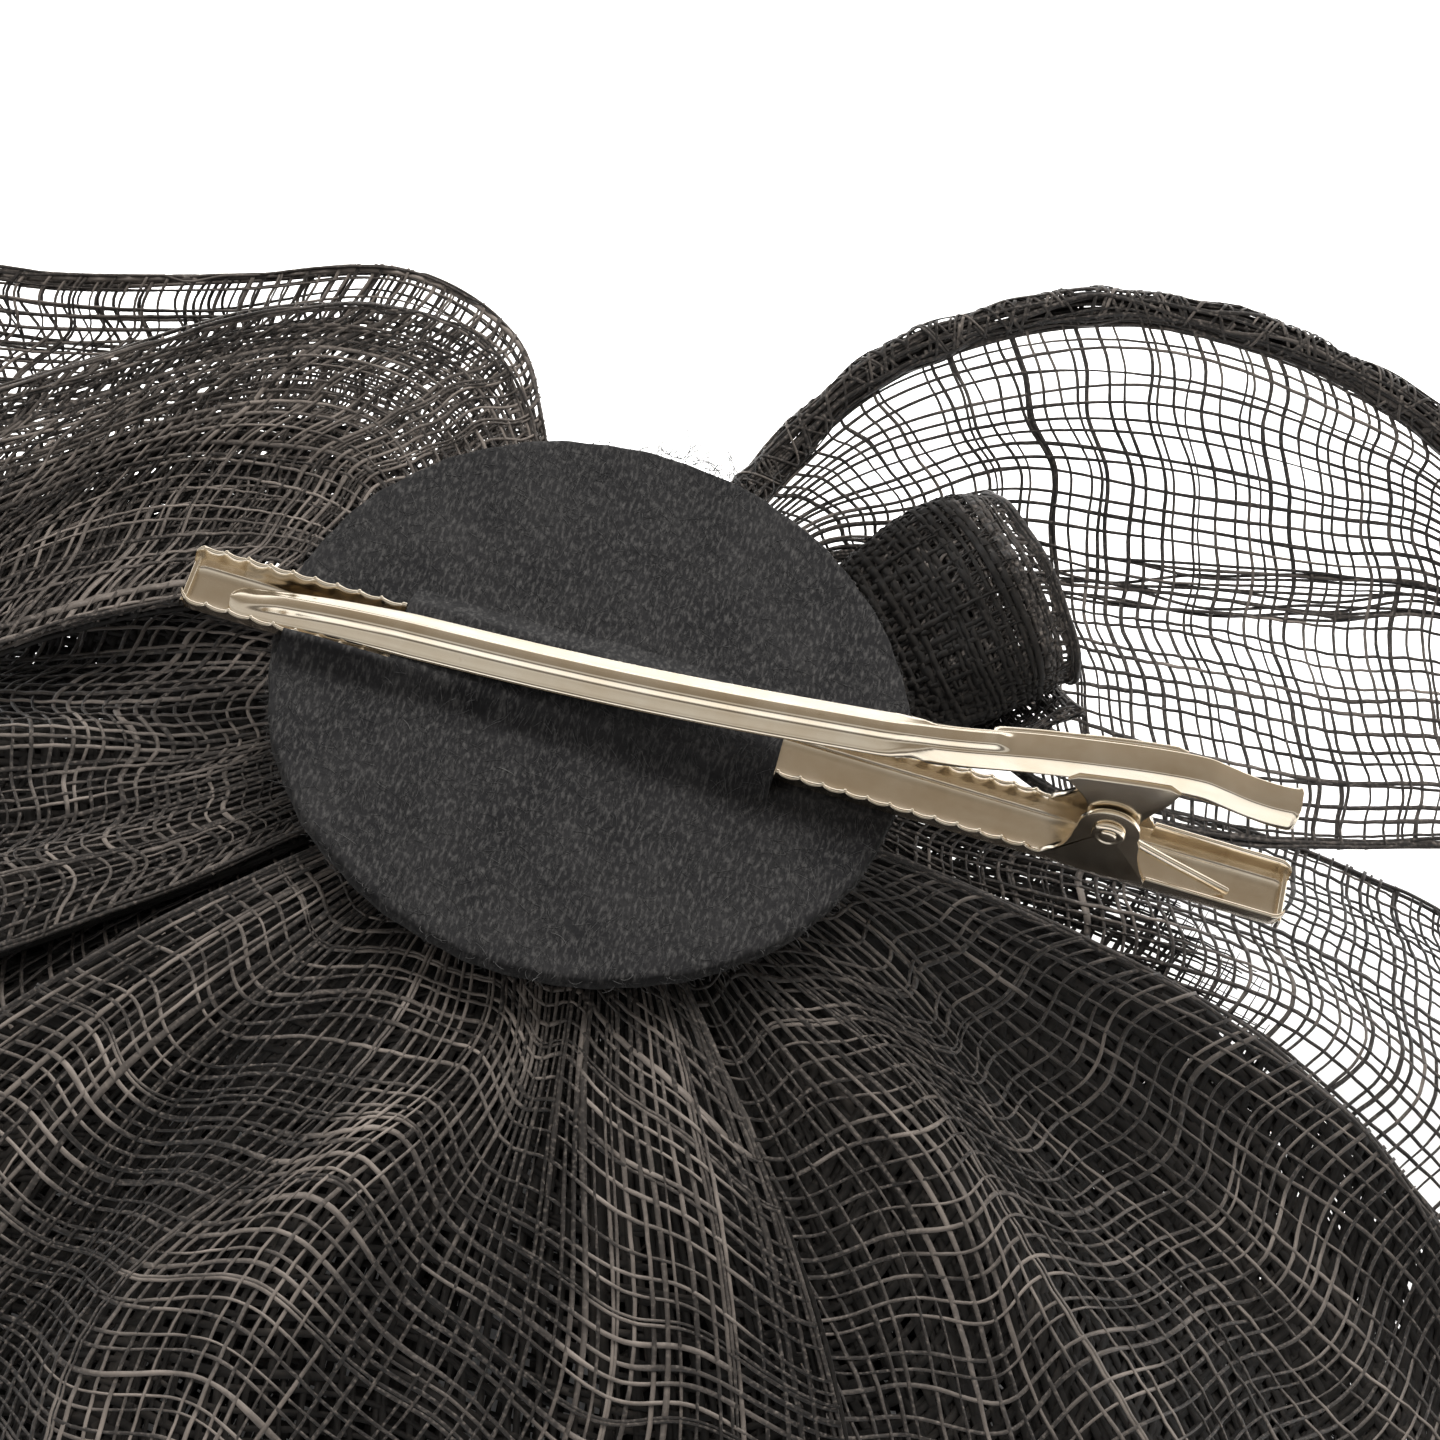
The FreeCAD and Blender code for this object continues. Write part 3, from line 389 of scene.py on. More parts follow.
def strands_object(name, strands, material):
    """One mesh of closed flattened tubes.

    Each strand is (points, normals, half width, half thickness, tone).
    """
    all_verts, all_faces, all_uvs, all_tones = [], [], [], []
    base = 0
    angles = 2 * math.pi * (np.arange(STRAND_SIDES) + 0.5) / STRAND_SIDES
    across = np.cos(angles) * CORNER_REACH
    through = np.sin(angles) * CORNER_REACH
    columns = max(1, math.ceil(len(strands) / UV_COLUMN_STRANDS))
    rows = math.ceil(len(strands) / columns)
    for index, (points, normals, half_width, half_thick, tone) in enumerate(strands):
        count = len(points)
        run = unit(np.gradient(points, axis=0))
        side = unit(np.cross(normals, run))
        outward = np.cross(run, side)
        widths = np.broadcast_to(half_width, (count,))[:, None] * across
        thicks = np.broadcast_to(half_thick, (count,))[:, None] * through
        rings = (points[:, None, :] + side[:, None, :] * widths[:, :, None]
                 + outward[:, None, :] * thicks[:, :, None])
        all_verts.append(rings.reshape(-1, 3))
        last = base + (count - 1) * STRAND_SIDES
        all_faces.append(grid_quads(count, STRAND_SIDES, closed=True, first=base))
        all_faces.append(np.array([[base + 3, base + 2, base + 1, base],
                                   [last, last + 1, last + 2, last + 3]]))
        # each strand has its own thin bar of the UV sheet
        column, row = index // rows, index % rows
        u = (column + 0.02 + 0.96 * np.arange(count) / (count - 1)) / columns
        v = (row + 0.06 + 0.88 * np.arange(STRAND_SIDES + 1) / STRAND_SIDES) / rows
        grid = np.stack(np.meshgrid(u, v, indexing="ij"), -1)
        corners = [grid[:-1, :-1], grid[:-1, 1:], grid[1:, 1:], grid[1:, :-1]]
        all_uvs.append(np.stack(corners, axis=2).reshape(-1, 2))
        all_uvs.append(np.array([grid[0, 0]] * 4 + [grid[-1, 0]] * 4))
        all_tones.append(np.repeat(np.broadcast_to(tone, (count,)), STRAND_SIDES))
        base += count * STRAND_SIDES
    return make_object(name, np.concatenate(all_verts), np.concatenate(all_faces), material,
                       uv=np.concatenate(all_uvs), tone=np.concatenate(all_tones))


# ------------------------------------------------------------------ surfaces
class Surface:
    """A sampled surface with normals, u from 0 to 1 and v from -1 to 1."""

    def __init__(self, point_at, steps_u, steps_v, relief=None):
        self.steps_u, self.steps_v = steps_u, steps_v
        u = np.linspace(0, 1, steps_u + 1)
        v = np.linspace(-1, 1, steps_v + 1)
        self.points = np.array([[point_at(a, b) for b in v] for a in u], float)
        self.folds = np.zeros(self.points.shape[:2])
        self.set_normals()
        if relief is not None:
            height = relief(*np.meshgrid(u, v, indexing="ij"))
            self.points = self.points + self.normals * height[:, :, None]
            self.folds = height * (1 if self.normals[:, :, 2].mean() > 0 else -1)
            self.set_normals()

    def set_normals(self):
        along = np.gradient(self.points, axis=0)
        across = np.gradient(self.points, axis=1)
        self.normals = unit(np.cross(along, across))

    def grid_place(self, u, v):
        return np.clip(u, 0, 1) * self.steps_u, (np.clip(v, -1, 1) + 1) / 2 * self.steps_v

    def fold(self, u, v):
        """How far the sheet stands up (+) or dips (-) in its folds at each point."""
        x, y = self.grid_place(u, v)
        return self.folds[np.rint(x).astype(int), np.rint(y).astype(int)]

    def at(self, u, v):
        """Points and normals at arrays of u and v."""
        x, y = self.grid_place(u, v)
        i = np.minimum(x.astype(int), self.steps_u - 1)
        j = np.minimum(y.astype(int), self.steps_v - 1)
        f = (x - i)[:, None]
        g = (y - j)[:, None]
        points, normals = (
            a[i, j] * (1 - f) * (1 - g) + a[i + 1, j] * f * (1 - g)
            + a[i, j + 1] * (1 - f) * g + a[i + 1, j + 1] * f * g
            for a in (self.points, self.normals))
        return points, unit(normals)


def pleats(depth, broad, fine, phase, start=0.10):
    """Relief of broad and fine waves across v, growing from u = start."""
    def relief(u, v):
        waves = (0.62 * np.sin(broad * v + phase + 1.6 * u)
                 + 0.38 * np.sin(fine * v - 2.4 * u + 2.1 * phase))
        return ease_all((u - start) / 0.3) * depth * waves
    return relief


# ------------------------------------------------------------------ weaving
HALF_THICK = 0.055       # of a strand
WAVE = 0.075             # over and under at the crossings
LOST = 0.008             # share of strands missing
DRIFT = 0.24             # sideways wander of a strand
TONE_SPREAD = 0.12
CUT_TAPER = 22.0         # samples over which a cut strand thins to its end


def flow(u, v, shift_v, shift_u, seed):
    """Bend the run of both thread families alike; the v edges and the root stay still."""
    p = np.random.default_rng(seed).uniform(0, 2 * math.pi, 8)
    calm = np.clip(1 - v * v, 0, 1) * ease_all(u / 0.22)
    dv = shift_v * calm * (0.60 * np.sin(5.2 * u + 2.3 * v + p[0])
                           + 0.40 * np.sin(9.1 * u - 3.4 * v + p[1])
                           + 0.22 * np.sin(15.0 * u + 6.0 * v + p[2]))
    calm_ends = ease_all(u / 0.2) * np.clip((1 - u) / 0.15, 0, 1)
    du = shift_u * calm_ends * (0.6 * np.sin(3.9 * v + 3.0 * u + p[3])
                                + 0.45 * np.sin(8.3 * v - 5.0 * u + p[4])
                                + 0.25 * np.sin(16.0 * v + 4.0 * u + p[5]))
    patches = (0.5 * np.sin(6.1 * u + 3.7 * v + p[6]) * np.sin(4.7 * v - 3.9 * u + p[7])
               + 0.5 * np.sin(11.0 * v + 5.0 * u + p[0]) * np.sin(8.0 * u - 2.0 * v + p[3]))
    return u + du, v + dv, patches


def runs(mask):
    """Start and stop of each unbroken stretch of True."""
    hits = np.flatnonzero(mask)
    if len(hits) == 0:
        return []
    breaks = np.flatnonzero(np.diff(hits) > 1)
    return [(part[0], part[-1] + 1) for part in np.split(hits, breaks + 1)]


def cut_taper(start, stop, total):
    """Width factors for samples start to stop, thinning at ends inside the whole strand."""
    steps = np.arange(stop - start)
    to_end = np.full(stop - start, 99.0)
    if start > 0:
        to_end = np.minimum(to_end, steps)
    if stop < total:
        to_end = np.minimum(to_end, stop - start - 1 - steps)
    return np.clip(to_end / CUT_TAPER, 0.12, 1.0)


def turned_edges(surface, gen, edges, hem, ragged, lift, width, tone):
    """A few strands laid together along each named edge."""
    count = 121
    s = np.linspace(0, 1, count)
    across = -1 + 2 * s
    noise_scale, noise_size, width_factor = (2.6, 0.011, 0.9) if ragged else (6.0, 0.004, 1.15)
    strands = []
    for edge in edges:
        for k in range(hem):
            wobble = smooth_noise(count, 80, noise_scale, noise_size, gen)
            inset = np.maximum(0.004, 0.006 + 0.011 * k + wobble)
            u, v = {"low": (s, -1 + inset), "high": (s, 1 - inset),
                    "tip": (1 - inset * 0.5, across), "root": (inset * 0.5, across)}[edge]
            points, normals = surface.at(u, v)
            off = lift + gen.normal(0, 0.10) + smooth_noise(count, 80, 5.0, 0.07, gen)
            tones = np.clip(tone - 0.12 + smooth_noise(count, 80, 5, 0.1, gen), 0, 1)
            strands.append((points + normals * off[:, None], normals,
                            width * width_factor, HALF_THICK * 1.3, tones))
    return strands


def weave(surface, along, across, gen, slant=(0.0, 0.0), lift=0.0, width=0.145, tone=0.45,
          edges=("low", "high", "tip"), hem=4, ragged=False, keep=None, bend=None,
          double=0.045, shade=0.30, patch=0.16):
    """Open plain weave: `along` strands run along u and `across` strands along v.

    slant: lean of each family; lift: height over the surface; width: half width of a strand;
    edges: turned edges (low and high v, tip, root) of hem strands each; keep(u, v, random):
    where strands stay; bend: arguments for flow; double: share of twinned strands;
    shade: painted shade and light, how far the folds darken the tone in their valleys and lighten
    it on their ridges; patch: how far the bend patches change the tone.
    """
    length_u = path_length(surface.points[:, surface.steps_v // 2])
    length_v = path_length(surface.points[surface.steps_u * 2 // 3])
    strands = []
    families = (
        # runs along u, strands, crossings, lean, pad, first place, span, lengths, wave sign
        (True, along, across, slant[0], abs(slant[0]) / 2, -1.0, 2.0, length_u, length_v, 1.0),
        (False, across, along, slant[1], abs(slant[1]), 0.0, 1.0, length_v, length_u, -1.0),
    )
    for lengthwise, count, crossings, lean, pad, first, span, length, reach, sign in families:
        extra = int(math.ceil(count * pad / span))
        samples = 2 * crossings + 1
        s = np.linspace(0, 1, samples)
        for i in range(-extra, count + extra):
            if gen.random() < LOST:
                continue
            middle = first + span * (i + 0.5 + gen.normal(0, 0.09)) / count
            wander = smooth_noise(samples, length, 14.0, DRIFT / reach * span, gen)
            if lengthwise:
                u, v = s, middle + lean * (s - 0.5) + wander
                kept = np.abs(v) <= 0.992
            else:
                v = -1 + 2 * s
                u = middle + lean * v + wander
                kept = (u >= 0.0) & (u <= 0.995)
            if keep is not None:
                kept = kept & keep(u, v, gen.random())
            patches = 0.0
            if bend is not None:
                u, v, patches = flow(u, v, *bend)
            points, normals = surface.at(u, v)
            off = (lift + sign * WAVE * np.cos(math.pi * (s * crossings - 0.5 + i))
                   + smooth_noise(samples, length, 9.0, 0.035, gen))
            own_tone = random_tone(gen, tone, TONE_SPREAD, low=0.02)
            # shade * fold paints shade and light: each strand darkens in the valleys of the folds
            # and lightens on their ridges
            tones = np.clip(own_tone + smooth_noise(samples, length, 5.0, 0.15, gen)
                            + shade * surface.fold(u, v) + patch * patches, 0, 1)
            thick_one = 1.40 if gen.random() < 0.07 else 1.0
            widths = width * thick_one * np.clip(gen.normal(1.0, 0.15), 0.6, 1.5)
            widths = widths * (1 + smooth_noise(samples, length, 5.0, 0.16, gen))
            widths = np.clip(widths, 0.05, 0.42)
            twin = gen.random() < double
            for a, b in runs(kept):
                if b - a < 3:
                    continue
                path = points[a:b] + normals[a:b] * off[a:b, None]
                if keep is not None:
                    widths[a:b] *= cut_taper(a, b, samples)
                strands.append((path, normals[a:b], widths[a:b], HALF_THICK, tones[a:b]))
                if twin:
                    side = np.cross(normals[a:b], unit(np.gradient(path, axis=0)))
                    gap = 0.28 + smooth_noise(b - a, length, 12.0, 0.08, gen)
                    strands.append((path + side * gap[:, None] + normals[a:b] * 0.02,
                                    normals[a:b], widths[a:b] * 0.8, HALF_THICK,
                                    tones[a:b] * 0.9))
    return strands + turned_edges(surface, gen, edges, hem, ragged, lift, width, tone)


# ------------------------------------------------------------------ petals
Fan = namedtuple("Fan", "azimuth root_radius tip_radius root_half outer_half drop tilt "
                        "ruffle phase rounding")
# azimuth in degrees from +X; half widths at root and outside; drop: z against the top layer;
# tilt and ruffle: side to side rise; rounding: how far the tip's corners draw back
FANS = {
    "petal_left": Fan(193, 11.5, 88, 5.5, 25, -3.6, 1.1, 0.4, 0.3, 0.24),
    "petal_lower_left": Fan(225, 11.5, 90, 6.0, 31, -5.2, 1.0, 0.4, 1.3, 0.22),
    "petal_bottom": Fan(265, 11.0, 88, 8.0, 41, 0.0, 0.9, 0.35, 2.0, 0.20),
    "petal_lower_right": Fan(322, 11.5, 92, 6.5, 36, -2.6, -1.1, 0.4, 0.7, 0.20),
    "petal_right": Fan(348, 11.5, 94, 6.0, 32, -6.6, 1.0, 0.4, 2.6, 0.14),
    "underpetal_left": Fan(204, 13.0, 80, 6.0, 30, -8.6, 0.7, 0.4, 0.0, 0.24),
    "underpetal_lower_left": Fan(243, 13.0, 84, 6.0, 33, -10.9, 0.7, 0.4, 1.0, 0.24),
    "underpetal_lower_right": Fan(284, 13.0, 84, 6.0, 33, -8.3, -0.7, 0.4, 2.0, 0.24),
    "underpetal_right": Fan(322, 13.0, 84, 6.0, 31, -10.9, 0.7, 0.4, 3.0, 0.24),
}
# strands along, strands across, slants, layers, tone, pleat depth
PETAL_WEAVE = {
    "petal_left": (44, 66, (0.30, 0.05), 3, 0.56, 0.85),
    "petal_lower_left": (50, 66, (0.30, -0.05), 2, 0.58, 0.95),
    "petal_bottom": (62, 64, (-0.10, 0.05), 2, 0.60, 1.25),
    "petal_lower_right": (43, 55, (0.22, 0.07), 3, 0.60, 0.70),
    "petal_right": (52, 74, (-0.22, -0.05), 3, 0.30, 0.55),
    "underpetal_left": (56, 66, (-0.3, 0.05), 1, 0.30, 0.50),
    "underpetal_lower_left": (62, 66, (0.3, -0.06), 1, 0.30, 0.50),
    "underpetal_lower_right": (62, 66, (-0.3, 0.06), 1, 0.30, 0.50),
    "underpetal_right": (58, 66, (0.3, 0.05), 1, 0.30, 0.50),
}
# extra strands in the layers beneath, the same per layer, half width of their strands
PETAL_LINING = {
    "petal_left": (10, 4, 0.29),
    "petal_lower_left": (10, 4, 0.26),
    "petal_bottom": (6, 4, 0.26),
    "petal_lower_right": (23, 0, 0.33),
}


def spread_height(x, y):
    """Height of the top petal layer: it drops outwards and waves round the centre."""
    radius = math.hypot(x, y)
    angle = math.atan2(y, x)
    drop = -3.9 - 14.5 * ease((radius - 20.0) / 72.0)
    wave = 2.0 * ease((radius - 22.0) / 34.0)
    return drop + wave * (math.sin(7 * angle + 0.9) + 0.35 * math.sin(13 * angle + 2.1))


def fan_point(fan, u, v):
    """Point of a petal: u runs outwards from the root, v across."""
    opening = math.sin(math.pi / 2 * min(1.0, u / 0.75))
    half = fan.root_half + (fan.outer_half - fan.root_half) * opening
    reach = fan.tip_radius - fan.root_radius
    radius = fan.root_radius + reach * u - fan.rounding * reach * v * v * u * u
    angle = math.radians(fan.azimuth)
    lateral = v * half * (1 - 0.10 * u * u)
    x = math.cos(angle) * radius - math.sin(angle) * lateral
    y = math.sin(angle) * radius + math.cos(angle) * lateral
    sway = fan.tilt * v + fan.ruffle * math.sin(2.2 * math.pi * v + fan.phase)
    z = (spread_height(x, y) + fan.drop * (0.55 + 0.45 * ease((radius - 14.0) / 16.0))
         + sway * opening * ease((radius - 21.0) / 12.0))
    return (x, y, z)


def right_petal_lining(u, v, chance):
    """Where the right petal is doubled: near its root and along its high v side less far."""
    return u < 0.56 + 0.07 * chance - 0.30 * np.clip(v, -1, 1)


def petal_strands(name, index, layer, surface, gen):
    along, across, slant, _, tone, _ = PETAL_WEAVE[name]
    # under-petals: wide strands in the darker sinamay (chosen in build_petals), a near-opaque
    # sheet of painted shade under the top petals
    if name.startswith("under"):
        return weave(surface, along, across, gen, slant=slant, width=0.29, tone=tone)
    if name == "petal_right":
        if layer == 0:
            return weave(surface, along, across, gen, slant=slant, lift=0.2, width=0.135,
                         tone=tone, hem=2, bend=(0.10, 0.028, 940))
        return weave(surface, along + 6 * layer, across + 4 * layer, gen,
                     slant=(-slant[0] * (1.6 - 0.9 * layer), 0.03 * layer),
                     lift=-0.25 * layer, width=0.20, tone=tone,
                     edges=("low",) if layer == 1 else (), keep=right_petal_lining)
    if layer == 0:
        # the top layer takes stronger painted fold shade (shade=0.36): darker valleys, lighter
        # ridges
        return weave(surface, along, across, gen, slant=slant, lift=0.30, width=0.130,
                     tone=tone - 0.04, hem=2, bend=(0.13, 0.030, 900 + index),
                     shade=0.36, patch=0.22)
    extra, per_layer, width = PETAL_LINING[name]
    extra += per_layer * layer
    # the layers beneath are woven 0.15 darker in tone: painted shade under the top layer
    return weave(surface, along + extra, across + extra - 2, gen,
                 slant=(-slant[0] * (1.9 - 0.7 * layer), -slant[1]),
                 lift=-0.25 - 0.3 * layer, width=width, tone=tone - 0.15, hem=2,
                 bend=(0.08, 0.02, 920 + index))


def build_petals():
    for index, (name, fan) in enumerate(FANS.items()):
        layers, depth = PETAL_WEAVE[name][3], PETAL_WEAVE[name][5]
        for layer in range(layers):
            gen = np.random.default_rng(100 + 10 * index + layer)
            relief = pleats(depth, 9.0, 21.0, fan.phase + 0.25 * layer)
            surface = Surface(lambda u, v: fan_point(fan, u, v), 96, 96, relief)
            strands = petal_strands(name, index, layer, surface, gen)
            # under-petals and the layers below the top one take the darker sinamay: painted shade
            # for lying beneath the top layer
            dark = name.startswith("under") or layer > 0
            suffix = ("_mesh", "_lining", "_backing")[layer]
            obj = strands_object(name + suffix, strands, SHADED_SINAMAY if dark else SINAMAY)
            register(obj, replaces=name if layer == 0 else None)


# ------------------------------------------------------------------ loops
# Control nets (x, y, z): rows run outward from the root, points run across the strip.
LEFT_BACK_NET = [
    [(-7.7, 18.7, -4.3), (-9.7, 16.1, -4.4), (-12.1, 13.4, -4.5),
     (-14.9, 10.1, -4.6), (-17.1, 6.0, -4.7)],
    [(-9.1, 23.5, -3.9), (-11.9, 20.7, -4.2), (-15.3, 16.6, -4.7),
     (-18.2, 12.5, -5.1), (-20.5, 7.5, -5.3)],
    [(-13.9, 31.5, -2.6), (-16.5, 26.4, -4.6), (-19.6, 21.5, -6.2),
     (-22.8, 15.4, -6.8), (-25.4, 9.1, -7.0)],
    [(-23.6, 33.8, -1.6), (-25.5, 27.7, -4.6), (-27.9, 21.0, -6.8),
     (-30.9, 13.6, -7.6), (-33.0, 6.1, -7.6)],
    [(-34.5, 28.5, -1.2), (-35.0, 23.5, -4.6), (-36.1, 17.6, -7.0),
     (-38.2, 10.3, -8.0), (-39.9, 2.1, -8.0)],
    [(-46.7, 23.7, -1.0), (-46.6, 19.1, -4.6), (-47.5, 13.1, -7.4),
     (-48.6, 5.5, -8.6), (-49.3, -2.8, -8.6)],
    [(-60.6, 20.8, -1.8), (-60.2, 15.6, -5.0), (-60.6, 9.4, -7.8),
     (-60.6, 2.2, -9.2), (-59.6, -5.0, -9.4)],
    [(-70.0, 12.5, -4.6), (-69.9, 9.8, -6.2), (-69.6, 6.6, -7.6),
     (-69.0, 3.4, -8.6), (-67.6, 0.4, -9.2)],
]
LEFT_FRONT_NET = [
    [(-9.1, 13.3, -3.1), (-11.1, 11.1, -3.1), (-13.2, 8.6, -3.1),
     (-14.7, 5.7, -3.15), (-15.5, 2.7, -3.2)],
    [(-9.3, 21.7, -3.0), (-12.9, 17.6, -3.05), (-16.2, 12.8, -3.2),
     (-19.0, 8.1, -3.4), (-20.4, 2.6, -3.5)],
    [(-15.0, 27.2, 0.6), (-18.6, 21.7, -1.2), (-22.1, 15.9, -2.6),
     (-24.6, 9.5, -3.6), (-26.4, 2.3, -4.2)],
    [(-23.0, 26.6, 2.4), (-26.7, 20.6, 0.0), (-30.1, 14.8, -2.6),
     (-32.5, 7.5, -4.2), (-34.0, -1.3, -5.0)],
    [(-31.9, 22.1, 2.8), (-34.4, 16.2, 0.2), (-37.2, 10.2, -2.6),
     (-39.5, 2.9, -4.6), (-40.6, -6.5, -5.4)],
    [(-41.2, 14.0, 2.6), (-42.9, 8.3, 0.0), (-45.3, 2.7, -3.0),
     (-47.1, -4.7, -5.0), (-47.6, -13.0, -6.0)],
    [(-51.6, 5.2, 1.6), (-53.0, 0.6, -1.0), (-54.2, -4.5, -3.6),
     (-54.8, -10.6, -5.4), (-54.2, -17.4, -6.4)],
    [(-60.4, -2.4, -1.2), (-60.8, -4.8, -2.4), (-60.8, -7.8, -3.8),
     (-60.4, -10.8, -5.0), (-59.2, -13.8, -5.8)],
]
RIGHT_NET = [
    [(4.5, 17.0, -3.8), (6.0, 16.8, -4.2), (7.6, 16.6, -4.9), (9.2, 16.2, -6.2),
     (10.7, 15.7, -7.4), (12.1, 14.9, -8.4), (13.4, 13.8, -8.9)],
    [(7.5, 25.6, -4.1), (9.7, 25.0, -4.4), (11.9, 24.2, -5.1), (13.9, 23.2, -6.6),
     (16.0, 21.8, -8.2), (18.2, 19.8, -9.0), (20.4, 17.2, -9.2)],
    [(12.6, 34.2, -0.2), (15.1, 31.5, -2.2), (18.0, 28.3, -4.9), (21.0, 25.2, -8.0),
     (23.6, 21.1, -8.8), (26.0, 16.3, -9.0), (28.2, 11.7, -9.0)],
    [(19.3, 39.6, 2.4), (21.8, 35.8, 0.0), (24.5, 32.5, -4.0), (27.6, 27.3, -8.0),
     (30.0, 21.0, -8.2), (32.2, 14.7, -8.2), (34.2, 8.6, -8.4)],
    [(27.6, 44.1, 3.6), (29.9, 39.0, 1.0), (32.3, 34.4, -3.4), (34.8, 28.5, -7.8),
     (36.5, 21.1, -7.5), (38.1, 14.7, -7.8), (39.7, 8.8, -8.8)],
    [(36.7, 46.1, 3.6), (38.7, 40.8, 1.0), (40.8, 36.1, -3.4), (43.1, 30.5, -7.6),
     (44.5, 22.6, -7.1), (46.0, 15.8, -7.6), (47.5, 9.6, -9.0)],
    [(46.1, 46.2, 2.6), (47.7, 41.3, 0.2), (49.5, 37.0, -3.6), (51.3, 32.8, -7.5),
     (52.5, 24.6, -7.2), (53.8, 17.5, -7.9), (55.2, 12.1, -9.4)],
    [(55.7, 44.3, 0.6), (56.8, 41.2, -1.6), (58.1, 38.5, -4.4), (59.5, 35.8, -7.6),
     (60.5, 27.9, -7.8), (61.7, 20.9, -8.8), (62.9, 15.6, -10.4)],
    [(66.6, 38.2, -2.6), (67.1, 36.3, -4.0), (67.6, 34.5, -5.8), (68.3, 33.0, -8.0),
     (68.7, 27.5, -8.6), (69.3, 22.7, -9.6), (69.9, 18.4, -11.2)],
    [(74.6, 28.4, -6.8), (74.7, 27.5, -7.2), (74.8, 26.9, -7.8), (74.9, 26.0, -8.4),
     (74.8, 24.4, -9.2), (74.7, 22.7, -10.2), (74.5, 20.9, -11.4)],
]
# name, net, strands along and across, slants, tone, pleat depth, v where the lining starts
LEFT_LOOPS = (
    ("loop_left_back", LEFT_BACK_NET, 28, 88, (0.04, 0.02), 0.70, 0.30, 0.20),
    ("loop_left_front", LEFT_FRONT_NET, 26, 66, (-0.08, 0.03), 0.68, 0.35, -0.20),
)


def catmull_rom(p0, p1, p2, p3, t):
    return tuple(0.5 * (2 * b + (c - a) * t + (2 * a - 5 * b + 4 * c - d) * t * t
                        + (3 * b - a - 3 * c + d) * t ** 3)
                 for a, b, c, d in zip(p0, p1, p2, p3))


def spline(row, t):
    """Curve through the row's points, t from 0 to 1; the ends are extended straight."""
    spans = len(row) - 1
    k = min(spans - 1, max(0, int(t * spans)))
    before = tuple(2 * p - q for p, q in zip(row[0], row[1]))
    after = tuple(2 * p - q for p, q in zip(row[-1], row[-2]))
    extended = [before] + list(row) + [after]
    return catmull_rom(*extended[k:k + 4], t * spans - k)


def net_point(net, u, v):
    return spline([spline(row, (v + 1) / 2) for row in net], u)


def net_surface(net, relief=None):
    return Surface(lambda u, v: net_point(net, u, v), 110, 60, relief)


def loop_pleats(depth, phase):
    return pleats(depth, 5.5, 13.0, phase, start=0.15)


def left_loop(index, name, net, along, across, slant, tone, depth, lining_v):
    """Two ragged layers, and a darker one where the strip lies folded on itself: its darker
    colour is painted shade.
    """
    gen = np.random.default_rng(200 + index)
    lower_slant = (-slant[0] * 1.8 + 0.14, -slant[1] - 0.03)
    strands = []
    for layer, lift, lean in ((0, 0.26, slant), (1, -0.30, lower_slant)):
        surface = net_surface(net, loop_pleats(depth, 0.8 + index + 0.4 * layer))
        strands += weave(surface, along, across, gen, slant=lean, lift=lift, tone=tone,
                         width=0.122, ragged=True, hem=2, double=0.08,
                         bend=(0.10, 0.014, 960 + index + 5 * layer))
    surface = net_surface(net, loop_pleats(depth, 2.0 + index))
    lining = weave(surface, along + 6, across + 8, gen, slant=(0.16, 0.05), lift=-0.62,
                   tone=0.4, width=0.24, edges=("high", "tip"),
                   keep=lambda u, v, chance: v > lining_v - 0.10 + 0.22 * chance)
    register(strands_object(name + "_lining", lining, SHADED_SINAMAY))
    register(strands_object(name + "_mesh", strands, SINAMAY), replaces=name)


def right_loop():
    """One layer, with strands drawn together along the crease."""
    gen = np.random.default_rng(202)
    strands = weave(net_surface(RIGHT_NET, loop_pleats(0.15, 2.8)), 32, 66, gen,
                    slant=(0.10, 0.02), tone=0.42, width=0.140, double=0.05,
                    bend=(0.05, 0.012, 962))
    surface = net_surface(RIGHT_NET)
    u = np.linspace(0.10, 0.985, 140)
    for k in range(9):
        v = -0.02 + 0.022 * (k - 4) + smooth_noise(140, 70, 9, 0.022, gen)
        points, normals = surface.at(u, v)
        strands.append((points + normals * (0.1 * (k % 3) - 0.05), normals, 0.13, 0.06,
                        random_tone(gen, 0.25, 0.12, low=0.02)))
    obj = strands_object("loop_right_mesh", strands, SINAMAY)
    register(obj, replaces="loop_right")


